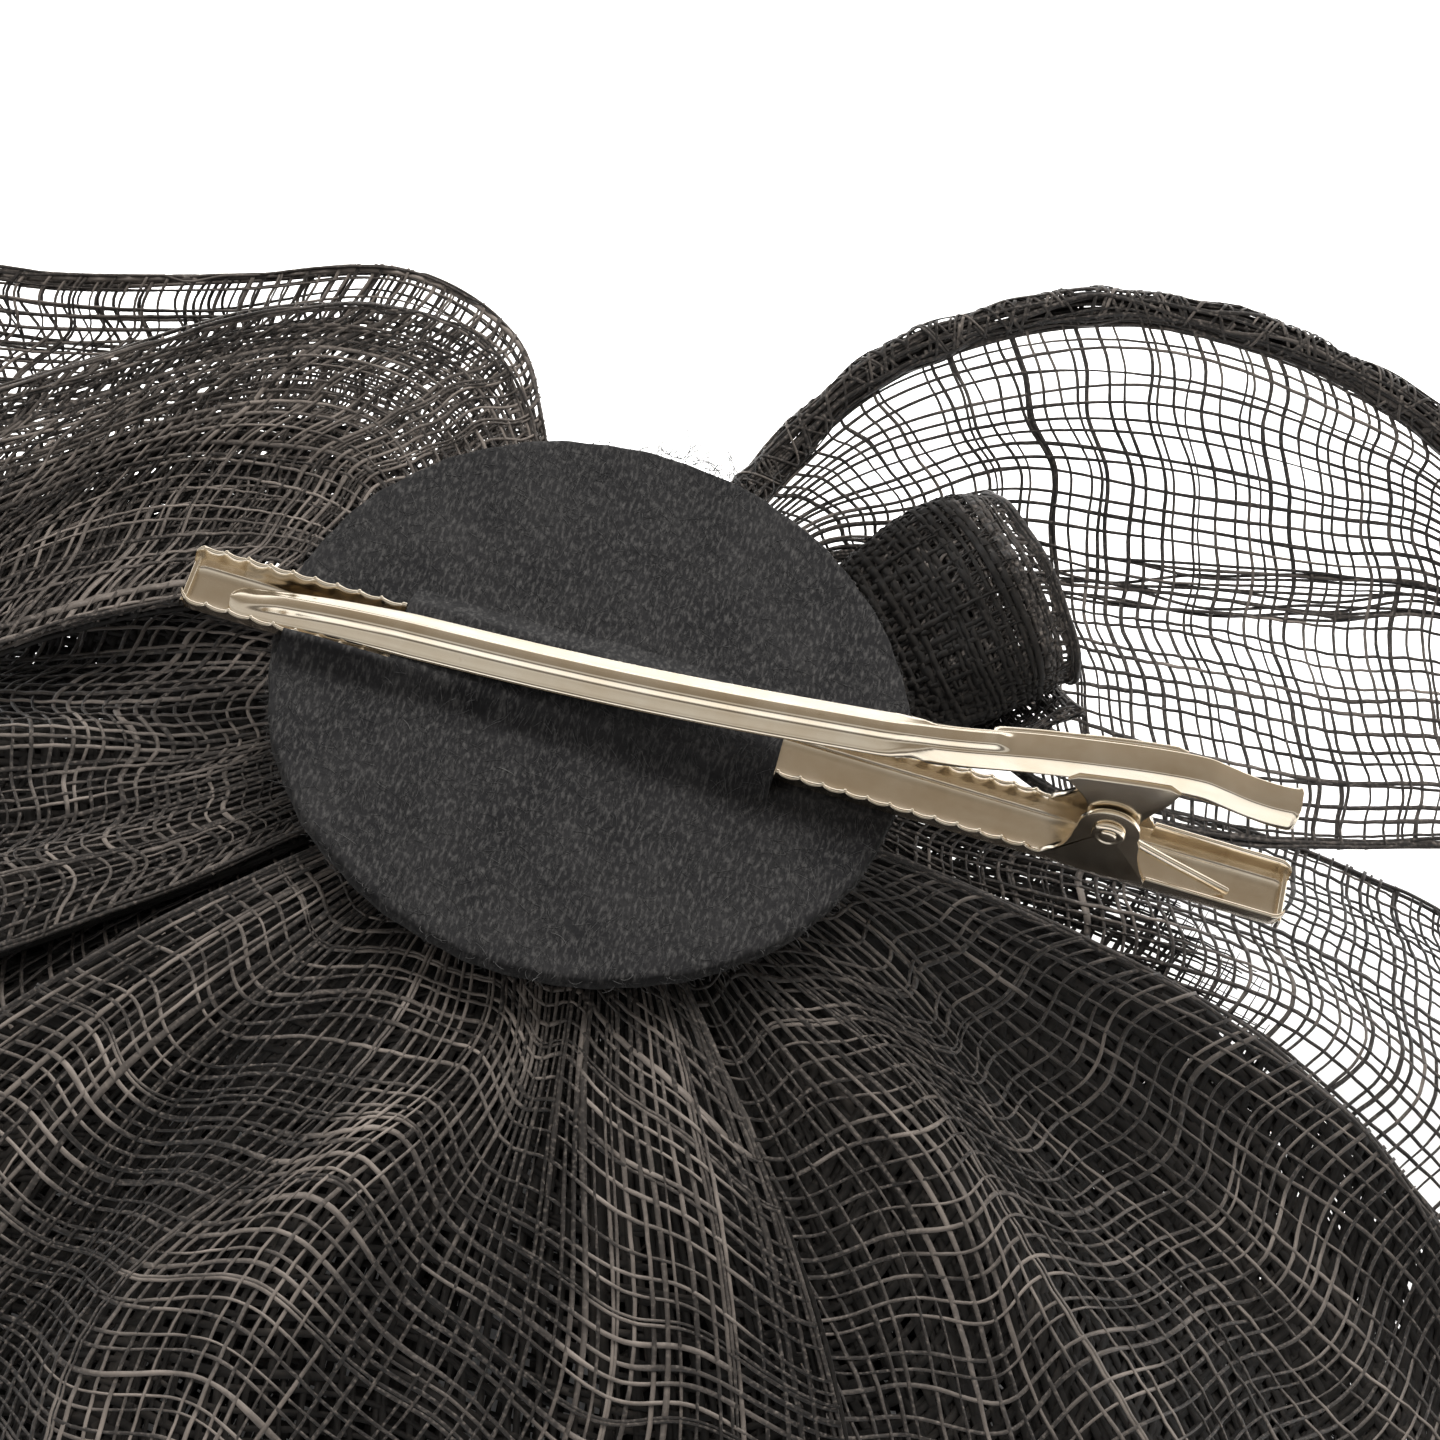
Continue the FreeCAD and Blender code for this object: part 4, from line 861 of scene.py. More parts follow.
def right_loop_hem():
    """The right loop's low v edge turned over and over into a soft cord."""
    gen = np.random.default_rng(310)
    half_out, half_up = 1.42, 0.92       # half widths away from the strip and across it
    center, outward = [], []
    for i in range(161):
        u = 0.085 + 0.915 * i / 160
        edge = np.array(net_point(RIGHT_NET, u, -1.0))
        run = unit(np.array(net_point(RIGHT_NET, min(1, u + 0.01), -1.0))
                   - np.array(net_point(RIGHT_NET, u - 0.01, -1.0)))
        out = edge - np.array(net_point(RIGHT_NET, u, -0.97))
        out = unit(out - run * out.dot(run))
        center.append(edge + out * 0.80)
        outward.append(out)
    center, outward = np.array(center), np.array(outward)
    upward = np.cross(unit(np.gradient(center, axis=0)), outward)
    length = path_length(center)

    def cord_at(s, angle, radius):
        """Points of the cord: s along it, angle round it, radius from 0 to 1."""
        x = s * (len(center) - 1)
        i = np.minimum(x.astype(int), len(center) - 2)
        f = (x - i)[:, None]
        c, a, b = (p[i] * (1 - f) + p[i + 1] * f for p in (center, outward, upward))
        size = (1 + 0.10 * np.sin(s * 37) + 0.07 * np.sin(s * 83 + 1)) * radius
        points = (c + a * (half_out * size * np.cos(angle))[:, None]
                  + b * (half_up * size * np.sin(angle))[:, None])
        normals = (a * (np.cos(angle) / half_out)[:, None]
                   + b * (np.sin(angle) / half_up)[:, None])
        return points, unit(normals)

    strands = []
    s = np.linspace(0, 1, 220)
    for _ in range(56):      # strands along the cord
        start = gen.uniform(0, 2 * math.pi)
        radius = gen.uniform(0.45, 0.97) + smooth_noise(220, length, 7, 0.10, gen)
        twist = 1.6 * s * gen.choice([-1, 1])
        angle = start + twist + smooth_noise(220, length, 9, 0.35, gen)
        points, normals = cord_at(s, angle, np.clip(radius, 0.1, 1.0))
        strands.append((points, normals, 0.15 * gen.uniform(0.7, 1.3), 0.055,
                        random_tone(gen, 0.40, 0.2, low=0.02)))
    q = np.linspace(0, 1, 20)
    for k in range(240):     # short strands slanting round it, both ways
        start = k / 240 + gen.normal(0, 0.002)
        way = 1 if k % 2 else -1
        angle = gen.uniform(0, 6.28) + 2 * math.pi * 0.62 * q
        points, normals = cord_at(np.clip(start + way * q * 0.030, 0, 1), angle,
                                  gen.uniform(0.88, 1.0))
        strands.append((points, normals, 0.13 * gen.uniform(0.7, 1.2), 0.05,
                        random_tone(gen, 0.42, 0.2, low=0.02)))
    obj = strands_object("loop_right_hem_roll", strands, SINAMAY)
    register(obj, replaces="loop_right_hem")


# ------------------------------------------------------------------ curled cone
CONE_ROOT, CONE_MOUTH = (11.5, 8.5, -5.3), (28.4, 20.2, -0.4)    # ends of its axis
CONE_HALF_WIDTH, CONE_HALF_ROOT, CONE_HALF_MOUTH = 10.6, 0.95, 4.2   # last two are heights
CONE_TURNS, CONE_TIGHTEN = 1.45, 0.42


def cone_point(u, v):
    """A strip rolled about an axis: u runs along the axis, v round it."""
    turn = (v + 1) / 2
    angle = 2 * math.pi * CONE_TURNS * turn + math.radians(200)
    axis = [q - p for p, q in zip(CONE_ROOT, CONE_MOUTH)]
    length = math.hypot(axis[0], axis[1])
    tight = 1 - CONE_TIGHTEN * turn
    half_width = (CONE_HALF_WIDTH * tight
                  * (0.60 + 0.42 * ease(u / 0.75) - 0.06 * ease((u - 0.8) / 0.2)))
    grow = (CONE_HALF_MOUTH - CONE_HALF_ROOT) * ease((u - 0.36) / 0.5)
    lateral = half_width * math.cos(angle)
    up = (CONE_HALF_ROOT + grow) * tight * math.sin(angle)
    return (CONE_ROOT[0] + axis[0] * u - axis[1] / length * lateral,
            CONE_ROOT[1] + axis[1] * u + axis[0] / length * lateral,
            CONE_ROOT[2] + axis[2] * ease((u - 0.36) / 0.6) + up)


def curled_cone():
    gen = np.random.default_rng(300)
    cone = Surface(cone_point, 40, 150, lambda u, v: (
        0.25 * np.sin(14 * v + 5 * u) + 0.12 * np.sin(31 * v - 7 * u)))
    outer = weave(cone, 92, 38, gen, slant=(0.25, 0.03), tone=0.34, width=0.135)
    inner = weave(cone, 92, 40, gen, slant=(-0.3, -0.03), lift=-0.22, tone=0.26, width=0.15,
                  edges=("tip",), keep=lambda u, v, chance: u < 0.90 + 0.1 * chance)
    lining = weave(cone, 84, 44, gen, slant=(0.1, 0.05), lift=-0.38, tone=0.3, width=0.25,
                   edges=(), keep=lambda u, v, chance: u < 0.80 + 0.12 * chance)
    register(strands_object("curled_cone_inner", inner, SINAMAY))
    # the lining takes the darker sinamay: painted shade inside the curl
    register(strands_object("curled_cone_lining", lining, SHADED_SINAMAY))
    obj = strands_object("curled_cone_mesh", outer, SINAMAY)
    register(obj, replaces="curled_cone")


# ------------------------------------------------------------------ rosette, core, binding
def rosette_point(u, v):
    """A ribbon standing on edge, wound 3.1 turns outwards."""
    angle = 2 * math.pi * 3.1 * u
    depth = (v + 1) / 2
    radius = (3.0 + 17.5 * u + 0.5 * math.sin(5 * angle) * u
              + 0.35 * math.sin(9 * angle + 2) * depth)
    z = -19.3 - 10.9 * depth + 0.25 * math.sin(7 * angle) * depth
    return (radius * math.cos(angle), radius * math.sin(angle), z)


def rosette(gen):
    strands = weave(Surface(rosette_point, 420, 16), 11, 170, gen, slant=(0.0, 0.004),
                    tone=0.46, width=0.17, edges=("low", "high", "tip", "root"))
    obj = strands_object("rosette_mesh", strands, SINAMAY)
    register(obj, replaces="rosette")


def waist(z):
    """How far the core is drawn in round z = -16.9."""
    return 1.3 * np.exp(-((z + 16.9) / 1.6) ** 2)


def around(radius, angle, z):
    """Points and outward normals on a cylinder about Z."""
    points = np.stack([radius * np.cos(angle), radius * np.sin(angle), z], -1)
    return points, np.stack([np.cos(angle), np.sin(angle), 0 * z], -1)


def core_pleats():
    """Solid pleated body of the gathered core, in the darker sinamay: painted shade for the
    core's deep inside.
    """
    low, high, levels, steps = -18.4, -2.75, 40, 240
    z, angle = np.meshgrid(np.linspace(low, high, levels),
                           np.linspace(0, 2 * math.pi, steps, endpoint=False), indexing="ij")
    folds = 0.045 * np.sin(26 * angle + 0.4 * z) + 0.03 * np.sin(11 * angle)
    side = around(8.3 * (1 + folds) - waist(z), angle, z)[0].reshape(-1, 3)
    faces = grid_quads(levels, steps, closed=True).tolist()
    bottom, top, last = len(side), len(side) + 1, (levels - 1) * steps
    for k in range(steps):
        after = (k + 1) % steps
        faces.append((bottom, after, k))
        faces.append((top, last + k, last + after))
    verts = np.concatenate([side, [[0, 0, low], [0, 0, high]]])
    obj = make_object("gathered_core_pleats", verts, faces, SHADED_SINAMAY, tone=PLAIN_TONE)
    register(obj)


def core_mesh(gen):
    """Upright strands and hoops over the core."""
    strands = []
    z = np.linspace(-18.3, -2.8, 24)
    for k in range(150):
        angle = 2 * math.pi * (k + gen.uniform(-0.3, 0.3)) / 150
        radius = 8.75 - waist(z) + smooth_noise(24, 15, 4, 0.12, gen)
        path = around(radius, angle + smooth_noise(24, 15, 6, 0.03, gen), z)
        strands.append((*path, 0.16, 0.06, random_tone(gen, 0.4, 0.2)))
    angle = np.linspace(0, 2 * math.pi, 120)
    for k in range(14):
        z = -17.9 + 1.12 * k + 0.2 * np.sin(3 * angle + k)
        path = around(8.85 - waist(z), angle, z)
        strands.append((*path, 0.16, 0.06, random_tone(gen, 0.4, 0.2)))
    obj = strands_object("gathered_core_mesh", strands, SINAMAY)
    register(obj, replaces="gathered_core")


def binding_thread():
    """Two threads wound five times round the core's waist."""
    angle = np.linspace(0, 2 * math.pi * 5, 520)
    z = -17.3 + 0.8 * angle / angle[-1] + 0.06 * np.sin(2.3 * angle)
    points, normals = around(8.35 + 0.16 * np.sin(angle * 0.9), angle, z)
    second = points * [1.02, 1.02, 1] + [0, 0, 0.28]
    obj = strands_object("binding_thread_wraps", [(points, normals, 0.17, 0.17, 0.4),
                                                  (second, normals, 0.15, 0.15, 0.6)], THREAD)
    register(obj, replaces="binding_thread")


# ------------------------------------------------------------------ felt disc
def disc_mesh(name, radius, top, bottom, material, ragged, seed, grooved=False):
    """Disc with a rounded, slightly ragged edge; grooved sinks a channel for the tray."""
    gen = np.random.default_rng(seed)
    rings = np.concatenate([np.linspace(0.4, radius - 0.6, 96),
                            radius - 0.35 + np.array([0.0, 0.2, 0.31, 0.35])])
    steps = 480
    angle = np.linspace(0, 2 * math.pi, steps, endpoint=False)
    wobble = (ragged / radius) * (0.5 * np.sin(3 * angle + 1) + 0.3 * np.sin(7 * angle)
                                  + 0.35 * np.sin(19 * angle + 2) + 0.25 * np.sin(47 * angle))
    r, a = np.meshgrid(rings, angle, indexing="ij")
    r = r * (1 + wobble[None, :] * (r / radius) ** 3)
    x, y = r * np.cos(a), r * np.sin(a)
    drop = np.zeros(len(rings))
    drop[-4:] = [0.03, 0.10, 0.22, 0.42]
    z = top - drop[:, None] + 0 * x
    for _ in range(40):      # faint random unevenness
        p, q = gen.uniform(-1.1, 1.1, 2)
        z = z + 0.0022 * np.sin(p * x * 2.2 + q * y * 2.2 + gen.uniform(0, 6.28))
    if grooved:
        dip = 0.30 * (1 - ease_all((np.abs(y - CLIP_Y) - FLOOR_HALF) / 0.5))
        outside_slits = (ease_all((-x + SLIT_LEFT + 0.4) / 0.4)
                         + ease_all((x - SLIT_RIGHT + 0.4) / 0.4))
        z = z - dip * np.clip(outside_slits, 0, 1)
    face = np.stack([x, y, z], -1)
    side = np.stack([x[-1], y[-1], np.full(steps, bottom + 0.25)], -1)
    foot = np.stack([x[-1] * 0.992, y[-1] * 0.992, np.full(steps, bottom)], -1)
    verts = np.concatenate([face.reshape(-1, 3), side, foot, [[0, 0, top], [0, 0, bottom]]])
    faces = grid_quads(len(rings) + 2, steps, closed=True, flip=True).tolist()
    top_center, bottom_center = len(verts) - 2, len(verts) - 1
    last = (len(rings) + 1) * steps
    for k in range(steps):
        after = (k + 1) % steps
        faces.append((top_center, k, after))
        faces.append((bottom_center, last + after, last + k))
    return make_object(name, verts, faces, material, tone=PLAIN_TONE)


def felt_shell(name, outer, inner, sharp):
    """Closed sheet between two skins, each an array of sections along X."""
    outer, inner = np.array(outer), np.array(inner)
    rows, columns = outer.shape[:2]
    off = rows * columns
    faces = interleave(grid_quads(rows, columns, flip=True),
                       grid_quads(rows, columns, first=off)).tolist()
    for b in range(columns - 1):
        p = (rows - 1) * columns + b
        faces.append((b, b + 1, off + b + 1, off + b))
        faces.append((p + 1, p, off + p, off + p + 1))
    for a in range(rows - 1):
        p = a * columns
        q = p + columns - 1
        faces.append((p + columns, p, off + p, off + p + columns))
        faces.append((q, q + columns, off + q + columns, off + q))
    verts = np.concatenate([outer.reshape(-1, 3), inner.reshape(-1, 3)])
    return make_object(name, verts, faces, FELT, tone=PLAIN_TONE, sharp=sharp)


def felt_strap():
    """The raised strip of felt over the tray between the two slits."""
    near_end = SLIT_LEFT + np.array([-0.02, 0.06, 0.18])
    far_end = SLIT_RIGHT + np.array([-0.18, -0.06, 0.02])
    middle = np.linspace(SLIT_LEFT + 0.4, SLIT_RIGHT - 0.4, 88)
    outer, inner = [], []
    for x in np.concatenate([near_end, middle, far_end]):
        t = (x - SLIT_LEFT) / (SLIT_RIGHT - SLIT_LEFT)
        to_slit = min(x - SLIT_LEFT, SLIT_RIGHT - x)
        near = CLIP_Y - 3.75 - 0.5 * (1 - t) + 0.10 * math.sin(x * 0.5)
        far = CLIP_Y + 5.0 + 0.5 * t + 0.12 * math.sin(x * 0.4 + 1)
        sag = 0.005 * math.sin(x * 0.55 + 0.6)
        # (y, z) from the near foot over the top to the far foot
        section = [
            (near - 0.35, -0.05), (near - 0.1, 0.02), (near + 0.15, 0.16), (near + 0.5, 0.62),
            (CLIP_Y - 2.98, 1.48), (CLIP_Y - 2.66, 1.82), (CLIP_Y - 2.3, 1.94),
            (CLIP_Y - 1.8, 1.93), (CLIP_Y - 0.9, 1.84 - sag), (CLIP_Y, 1.80 - sag),
            (CLIP_Y + 0.9, 1.84), (CLIP_Y + 1.8, 1.93), (CLIP_Y + 2.3, 1.96),
            (CLIP_Y + 2.7, 1.90), (CLIP_Y + 3.1, 1.60), (far - 1.2, 0.85), (far - 0.5, 0.30),
            (far, 0.05), (far + 0.25, -0.05)]
        path = resample(section, 73)
        relax(path, passes=2)
        y, z = path.T
        z = z - 0.10 * (1 - ease(to_slit / 0.25))
        bumps = 0.012 * np.sin(y * 2.1 + x * 1.3) * np.sin(x * 0.8 + y) * (z > 0.1)
        outer.append(np.stack([np.full(73, x), y, z + bumps], -1))
        beyond = np.abs(y - CLIP_Y) - 2.66
        hollow = np.where(beyond < 0, 1.52, np.maximum(-0.3, 1.52 - beyond * 1.6))
        inner.append(np.stack([np.full(73, x), y, np.minimum(z - 0.02, hollow)], -1))
    return felt_shell("felt_cover_strap", outer, inner, sharp=55)


def felt_lip():
    """The near lip of felt, lapping the tray's rim from the left slit to the disc's edge."""
    outer, inner = [], []
    for x in np.linspace(-21.6, SLIT_LEFT + 0.3, 40):
        full = ease((x + 21.8) / 2.2)
        foot = CLIP_Y - 3.75 - 0.5 - 0.35 * (1 - full)
        # (y, z) from the foot up to the rim
        section = np.array([
            (foot - 0.35, -0.06), (foot - 0.05, 0.03), (foot + 0.25, 0.2), (foot + 0.55, 0.62),
            (CLIP_Y - 3.12, 1.42), (CLIP_Y - 2.98, 1.78), (CLIP_Y - 2.80, 1.98),
            (CLIP_Y - 2.62, 2.0), (CLIP_Y - 2.48, 1.94)])
        section[section[:, 1] > 0.1, 1] *= 0.93 + 0.07 * full
        path = resample(section, 26)
        relax(path[:, 1])
        y, z = path.T
        outer.append(np.stack([np.full(26, x), y, z], -1))
        inner.append(np.stack([np.full(26, x), np.minimum(y + 0.06, CLIP_Y - 2.50),
                               np.maximum(z - 0.16, -0.3)], -1))
    return felt_shell("felt_cover_lip", outer, inner, sharp=60)


def felt_height(x, y):
    """Top of the felt, for laying fibres on it."""
    aside = abs(y - CLIP_Y)
    if not SLIT_LEFT < x < SLIT_RIGHT or aside >= 5.0:
        return 0.0
    if aside < 2.4:
        return 1.95
    return max(0.02, 1.95 - (aside - 2.4) * (1.9 / 2.3))


def surface_fibres(gen):
    """Short fibres lying on the felt, mostly along Y."""
    strands = []
    for _ in range(3200):
        radius = FELT_RADIUS * math.sqrt(gen.random()) * 0.995
        angle = gen.uniform(0, 2 * math.pi)
        x, y = radius * math.cos(angle), radius * math.sin(angle)
        if abs(y - CLIP_Y) < 2.6 and not (SLIT_LEFT < x < SLIT_RIGHT):
            continue
        if gen.random() < 0.75:
            lie = gen.normal(math.pi / 2 + 0.25, 0.55)
        else:
            lie = gen.uniform(0, math.pi)
        length = gen.uniform(0.35, 1.5)
        s = np.linspace(-0.5, 0.5, 6) * length
        bend = gen.normal(0, 0.22)
        xs = x + s * math.cos(lie) - bend * s * s * math.sin(lie)
        ys = y + s * math.sin(lie) + bend * s * s * math.cos(lie)
        if (np.hypot(xs, ys) >= FELT_RADIUS - 0.05).any():
            continue
        arch = gen.uniform(0.0, 0.05) * (1 - (2 * s / length) ** 2)
        zs = np.array([felt_height(p, q) for p, q in zip(xs, ys)]) + 0.02 + arch
        strands.append((np.stack([xs, ys, zs], -1), UP, gen.uniform(0.008, 0.016), 0.008,
                        random_tone(gen, 0.18, 0.22)))
    return strands


def edge_fibres(gen):
    """Fibres that stand off the disc's edge."""
    strands = []
    s = np.linspace(0, 1, 7)
    for _ in range(900):
        angle = gen.uniform(0, 2 * math.pi)
        x, y = FELT_RADIUS * math.cos(angle), FELT_RADIUS * math.sin(angle)
        length = abs(gen.normal(0, 0.45)) + 0.15
        heading = angle + gen.normal(0, 0.9)
        rise = gen.normal(0.1, 0.5)
        heading = heading + gen.normal(0, 1.0) * s
        points = np.stack([x * 0.995 + length * s * np.cos(heading),
                           y * 0.995 + length * s * np.sin(heading),
                           gen.uniform(-1.3, -0.05) + length * rise * s], -1)
        strands.append((points, UP, 0.012, 0.012, random_tone(gen, 0.3, 0.3)))
    return strands


def far_wisps(gen):
    """The longer wisps at the far edge."""
    strands = []
    count = 26
    s = np.linspace(0, 1, count)
    for k in range(46):
        angle = math.radians(gen.normal(82, 9))
        step = gen.uniform(1.2, 4.6) / count
        curl = gen.normal(0, 2.8)
        heading = (angle + gen.normal(0, 0.9) + curl * s
                   + 0.7 * np.sin(5 * s + gen.uniform(0, 6)))
        rise = np.full(count, step * gen.normal(0.15, 0.35))
        points = np.stack([FELT_RADIUS * math.cos(angle) + np.cumsum(step * np.cos(heading)),
                           FELT_RADIUS * math.sin(angle) + np.cumsum(step * np.sin(heading)),
                           -0.2 + np.cumsum(rise)], -1)
        strands.append((points, UP, 0.019 if k % 3 else 0.026, 0.015,
                        random_tone(gen, 0.25, 0.2)))
    return strands


def build_felt():
    face = disc_mesh("felt_cover_face", FELT_RADIUS, 0.0, -FELT_THICK, FELT,
                     ragged=0.14, seed=401, grooved=True)
    register(face)
    card = disc_mesh("base_disc_card", 21.25, -1.53, -2.57, CARD, ragged=0.10, seed=402)
    register(card, replaces="base_disc")
    register(felt_lip())
    register(felt_strap(), replaces="felt_cover_disc")
    gen = np.random.default_rng(400)
    fibres = surface_fibres(gen) + edge_fibres(gen) + far_wisps(gen)
    register(strands_object("felt_fuzz_fibres", fibres, FUZZ))


# ------------------------------------------------------------------ sheet metal helpers
def mirrored_sweep(xs, sections, center_y):
    """Vertices of half sections (y, z) along X, then their mirror images in Y."""
    sections = np.array(sections)
    y, z = sections[:, :, 0], sections[:, :, 1]
    x = np.repeat(xs[:, None], y.shape[1], 1)
    return np.concatenate([np.stack([x, center_y + sign * y, z], -1).reshape(-1, 3)
                           for sign in (1, -1)])


def section_cap(first, count):
    """Quads across one half section, from its outer skin to its inner skin."""
    q = np.arange(count // 2 - 1)
    return first + np.stack([q, q + 1, count - 2 - q, count - 1 - q], -1)


def plate(outline, y_one, y_other, bore=None, bevel=0.09):
    """Flat plate standing across Y with rounded edges.

    outline is a closed (x, z) list, bore an optional (x, z, radius).
    """
    points = np.array(outline)
    x, z = points.T
    if np.sum(x * np.roll(z, -1) - np.roll(x, -1) * z) < 0:
        points = points[::-1]
    tangent = unit(np.roll(points, -1, 0) - np.roll(points, 1, 0))
    inward = np.stack([-tangent[:, 1], tangent[:, 0]], -1)
    low, high = min(y_one, y_other), max(y_one, y_other)
    part = bevel * 0.3
    count = len(points)
    verts = []
    for inset, y in ((bevel, low), (part, low + part), (0, low + bevel),
                     (0, high - bevel), (part, high - part), (bevel, high)):
        ring = points + inward * inset
        verts += np.stack([ring[:, 0], np.full(count, y), ring[:, 1]], -1).tolist()
    faces = grid_quads(6, count, closed=True, flip=True).tolist()
    last = 5 * count
    if bore is None:
        faces.append(list(range(count)))
        faces.append(list(range(last + count - 1, last - 1, -1)))
        return verts, faces
    bore_x, bore_z, radius = bore
    base = len(verts)
    angles = [math.atan2(p[1] - bore_z, p[0] - bore_x) for p in points]
    for y in (low, high):
        verts += [(bore_x + radius * math.cos(a), y, bore_z + radius * math.sin(a))
                  for a in angles]
    for t in range(count):
        after = (t + 1) % count
        faces.append((t, after, base + after, base + t))
        faces.append((last + t, base + count + t, base + count + after, last + after))
        faces.append((base + t, base + after, base + count + after, base + count + t))
    return verts, faces


def join(parts):
    verts, faces = [], []
    for part_verts, part_faces in parts:
        base = len(verts)
        verts += part_verts
        faces += [[i + base for i in face] for face in part_faces]
    return verts, faces


# ------------------------------------------------------------------ clip tray
SCALLOP_PITCH, SCALLOP_RADIUS = 1.6, 0.95
SCALLOP_ROWS = ((-28.0, 9), (14.55, 12))     # first x and count
TRAY_EAR = (32.4, 40.0)                      # x range of the ears


def rim_height(x):
    """Rim of the tray: scalloped, low and plain under the strap and at the ears."""
    if TRAY_EAR[0] <= x <= TRAY_EAR[1] or SLIT_LEFT - 0.1 < x < 13.6:
        return RIM_LOW
    for first, count in SCALLOP_ROWS:
        if first - 0.8 <= x <= first + SCALLOP_PITCH * (count - 1) + 0.8:
            off = x - (first + SCALLOP_PITCH * round((x - first) / SCALLOP_PITCH))
            dip = math.sqrt(SCALLOP_RADIUS ** 2 - off * off)
            return min(RIM_HIGH, RIM_LOW + SCALLOP_RADIUS - dip)
    return RIM_HIGH


def tray_section(x):
    """Half section (y, z): outer skin from mid floor to the rim, inner skin back."""
    corner, bend, inner_bend = 0.9, 0.75, 0.45   # end corner in plan, outer and inner bends
    rim = rim_height(x)
    to_end = min(x - JAW_LEFT, JAW_RIGHT - x)
    tuck = 0.0
    if to_end < corner:
        tuck = corner - math.sqrt(corner ** 2 - (corner - to_end) ** 2)
    top_y, floor_y = RIM_HALF - tuck * 0.9, FLOOR_HALF - tuck * 0.9
    flare = top_y - floor_y
    points = [(0.0, TRAY_LOW), (floor_y * 0.5, TRAY_LOW), (floor_y - bend, TRAY_LOW)]
    points += arc((floor_y - bend, TRAY_LOW + bend), bend, -80, -12, 7)
    wall = TRAY_LOW + bend
    for q in (0.15, 0.35, 0.6, 0.85):
        points.append((floor_y + flare * (0.2 + 0.8 * q), wall + (rim - 0.1 - wall) * q))
    points += [(top_y - 0.02, rim - 0.09), (top_y - 0.09, rim - 0.015), (top_y - 0.19, rim),
               (top_y - 0.30, rim - 0.02), (top_y - 0.37, rim - 0.10)]
    inner_floor = TRAY_LOW + GAUGE
    wall = inner_floor + inner_bend
    for q in (0.8, 0.55, 0.3, 0.1):
        points.append((floor_y - 0.38 + flare * (0.2 + 0.8 * q),
                       wall + (rim - 0.1 - wall) * q))
    bend_y = floor_y - GAUGE - inner_bend
    points += arc((bend_y, wall), inner_bend, -15, -80, 5)
    return points + [(bend_y * 0.6, inner_floor), (0.0, inner_floor)]


def tray():
    rows = 1600
    xs = np.linspace(JAW_LEFT + JAW_INSET, JAW_RIGHT - JAW_INSET, rows)
    sections = [tray_section(x) for x in xs]
    columns = len(sections[0])
    off = rows * columns
    faces = [grid_quads(rows, columns), grid_quads(rows, columns, flip=True, first=off)]
    for first in (0, (rows - 1) * columns):
        faces.append(interleave(section_cap(first, columns),
                                section_cap(off + first, columns)[:, [0, 3, 2, 1]]))
    obj = make_object("clip_tray", mirrored_sweep(xs, sections, CLIP_Y),
                      np.concatenate(faces), METAL, sharp=50)
    register(obj, replaces="clip_lower_jaw")


def end_wall(left, right, top=1.1):
    """Cross wall that closes one end of the tray, its top edges drawn in."""
    ys = np.linspace(-2.16, 2.16, 25).tolist()
    verts = []
    for x, draw_in in ((left, 0.08), (right, -0.08)):
        for level_x, z in ((x, -0.05), (x, top - 0.08), (x + draw_in, top)):
            verts += [(level_x, CLIP_Y + y, z) for y in ys]
    count = len(ys)
    faces = (grid_quads(3, count, flip=True).tolist()
             + grid_quads(3, count, first=3 * count).tolist())
    for t in range(count - 1):
        a, b = 2 * count + t, 5 * count + t
        faces.append((a, b, b + 1, a + 1))
    return verts, faces


def tray_ends():
    near, deep = JAW_INSET, JAW_INSET + GAUGE
    walls = join([end_wall(JAW_LEFT + near, JAW_LEFT + deep),
                  end_wall(JAW_RIGHT - deep, JAW_RIGHT - near)])
    register(make_object("clip_tray_ends", *walls, METAL, sharp=50))


def tray_ears():
    """The two ears that stand up from the tray and carry the pin."""
    # (x, z) up the left side, over the pin, down the right side and along the foot
    outline = [(TRAY_EAR[0], 1.3), (32.6, 1.7), (32.95, 1.98), (33.3, 2.3), (33.58, 2.72),
               (33.8, 3.2), (33.95, 3.8), (34.05, 4.4), (34.07, 5.2)]
    outline += arc((PIN_X, PIN_Z), 2.15, 188, -8, 28)
    outline += [(38.72, 5.2), (38.8, 4.4), (39.0, 3.65), (39.25, 3.0), (39.45, 2.45),
                (39.75, 1.95), (39.88, 1.62), (TRAY_EAR[1], 1.3), (38.0, 0.9), (34.4, 0.9)]
    ears = join([plate(outline, CLIP_Y + side * 2.1, CLIP_Y + side * RIM_HALF,
                       bore=(PIN_X, PIN_Z, 0.82)) for side in (-1, 1)])
    register(make_object("clip_tray_ears", *ears, METAL, sharp=40))


def pin():
    """Turned pin with a dished head at each end."""
    # (y from the clip's axis, radius), from the -Y tip inwards
    head = [(-3.06, 0.2), (-3.05, 0.42), (-2.99, 0.56), (-2.90, 0.60), (-2.90, 0.68),
            (-2.96, 0.76), (-2.98, 0.88), (-2.93, 1.02), (-2.83, 1.12), (-2.70, 1.18),
            (-2.60, 1.17), (-2.545, 1.10), (-2.545, 0.8)]
    profile = head + [(-1.0, 0.8), (1.0, 0.8)] + [(-y, r) for y, r in reversed(head)]
    steps = 64
    verts = [(PIN_X + r * math.cos(2 * math.pi * k / steps), CLIP_Y + y,
              PIN_Z + r * math.sin(2 * math.pi * k / steps))
             for y, r in profile for k in range(steps)]
    faces = grid_quads(len(profile), steps, closed=True).tolist()
    faces.append(list(range(steps - 1, -1, -1)))
    faces.append(list(range((len(profile) - 1) * steps, len(profile) * steps)))
    obj = make_object("clip_pin_turned", verts, faces, METAL, sharp=60)
    register(obj, replaces="clip_pivot_pin")


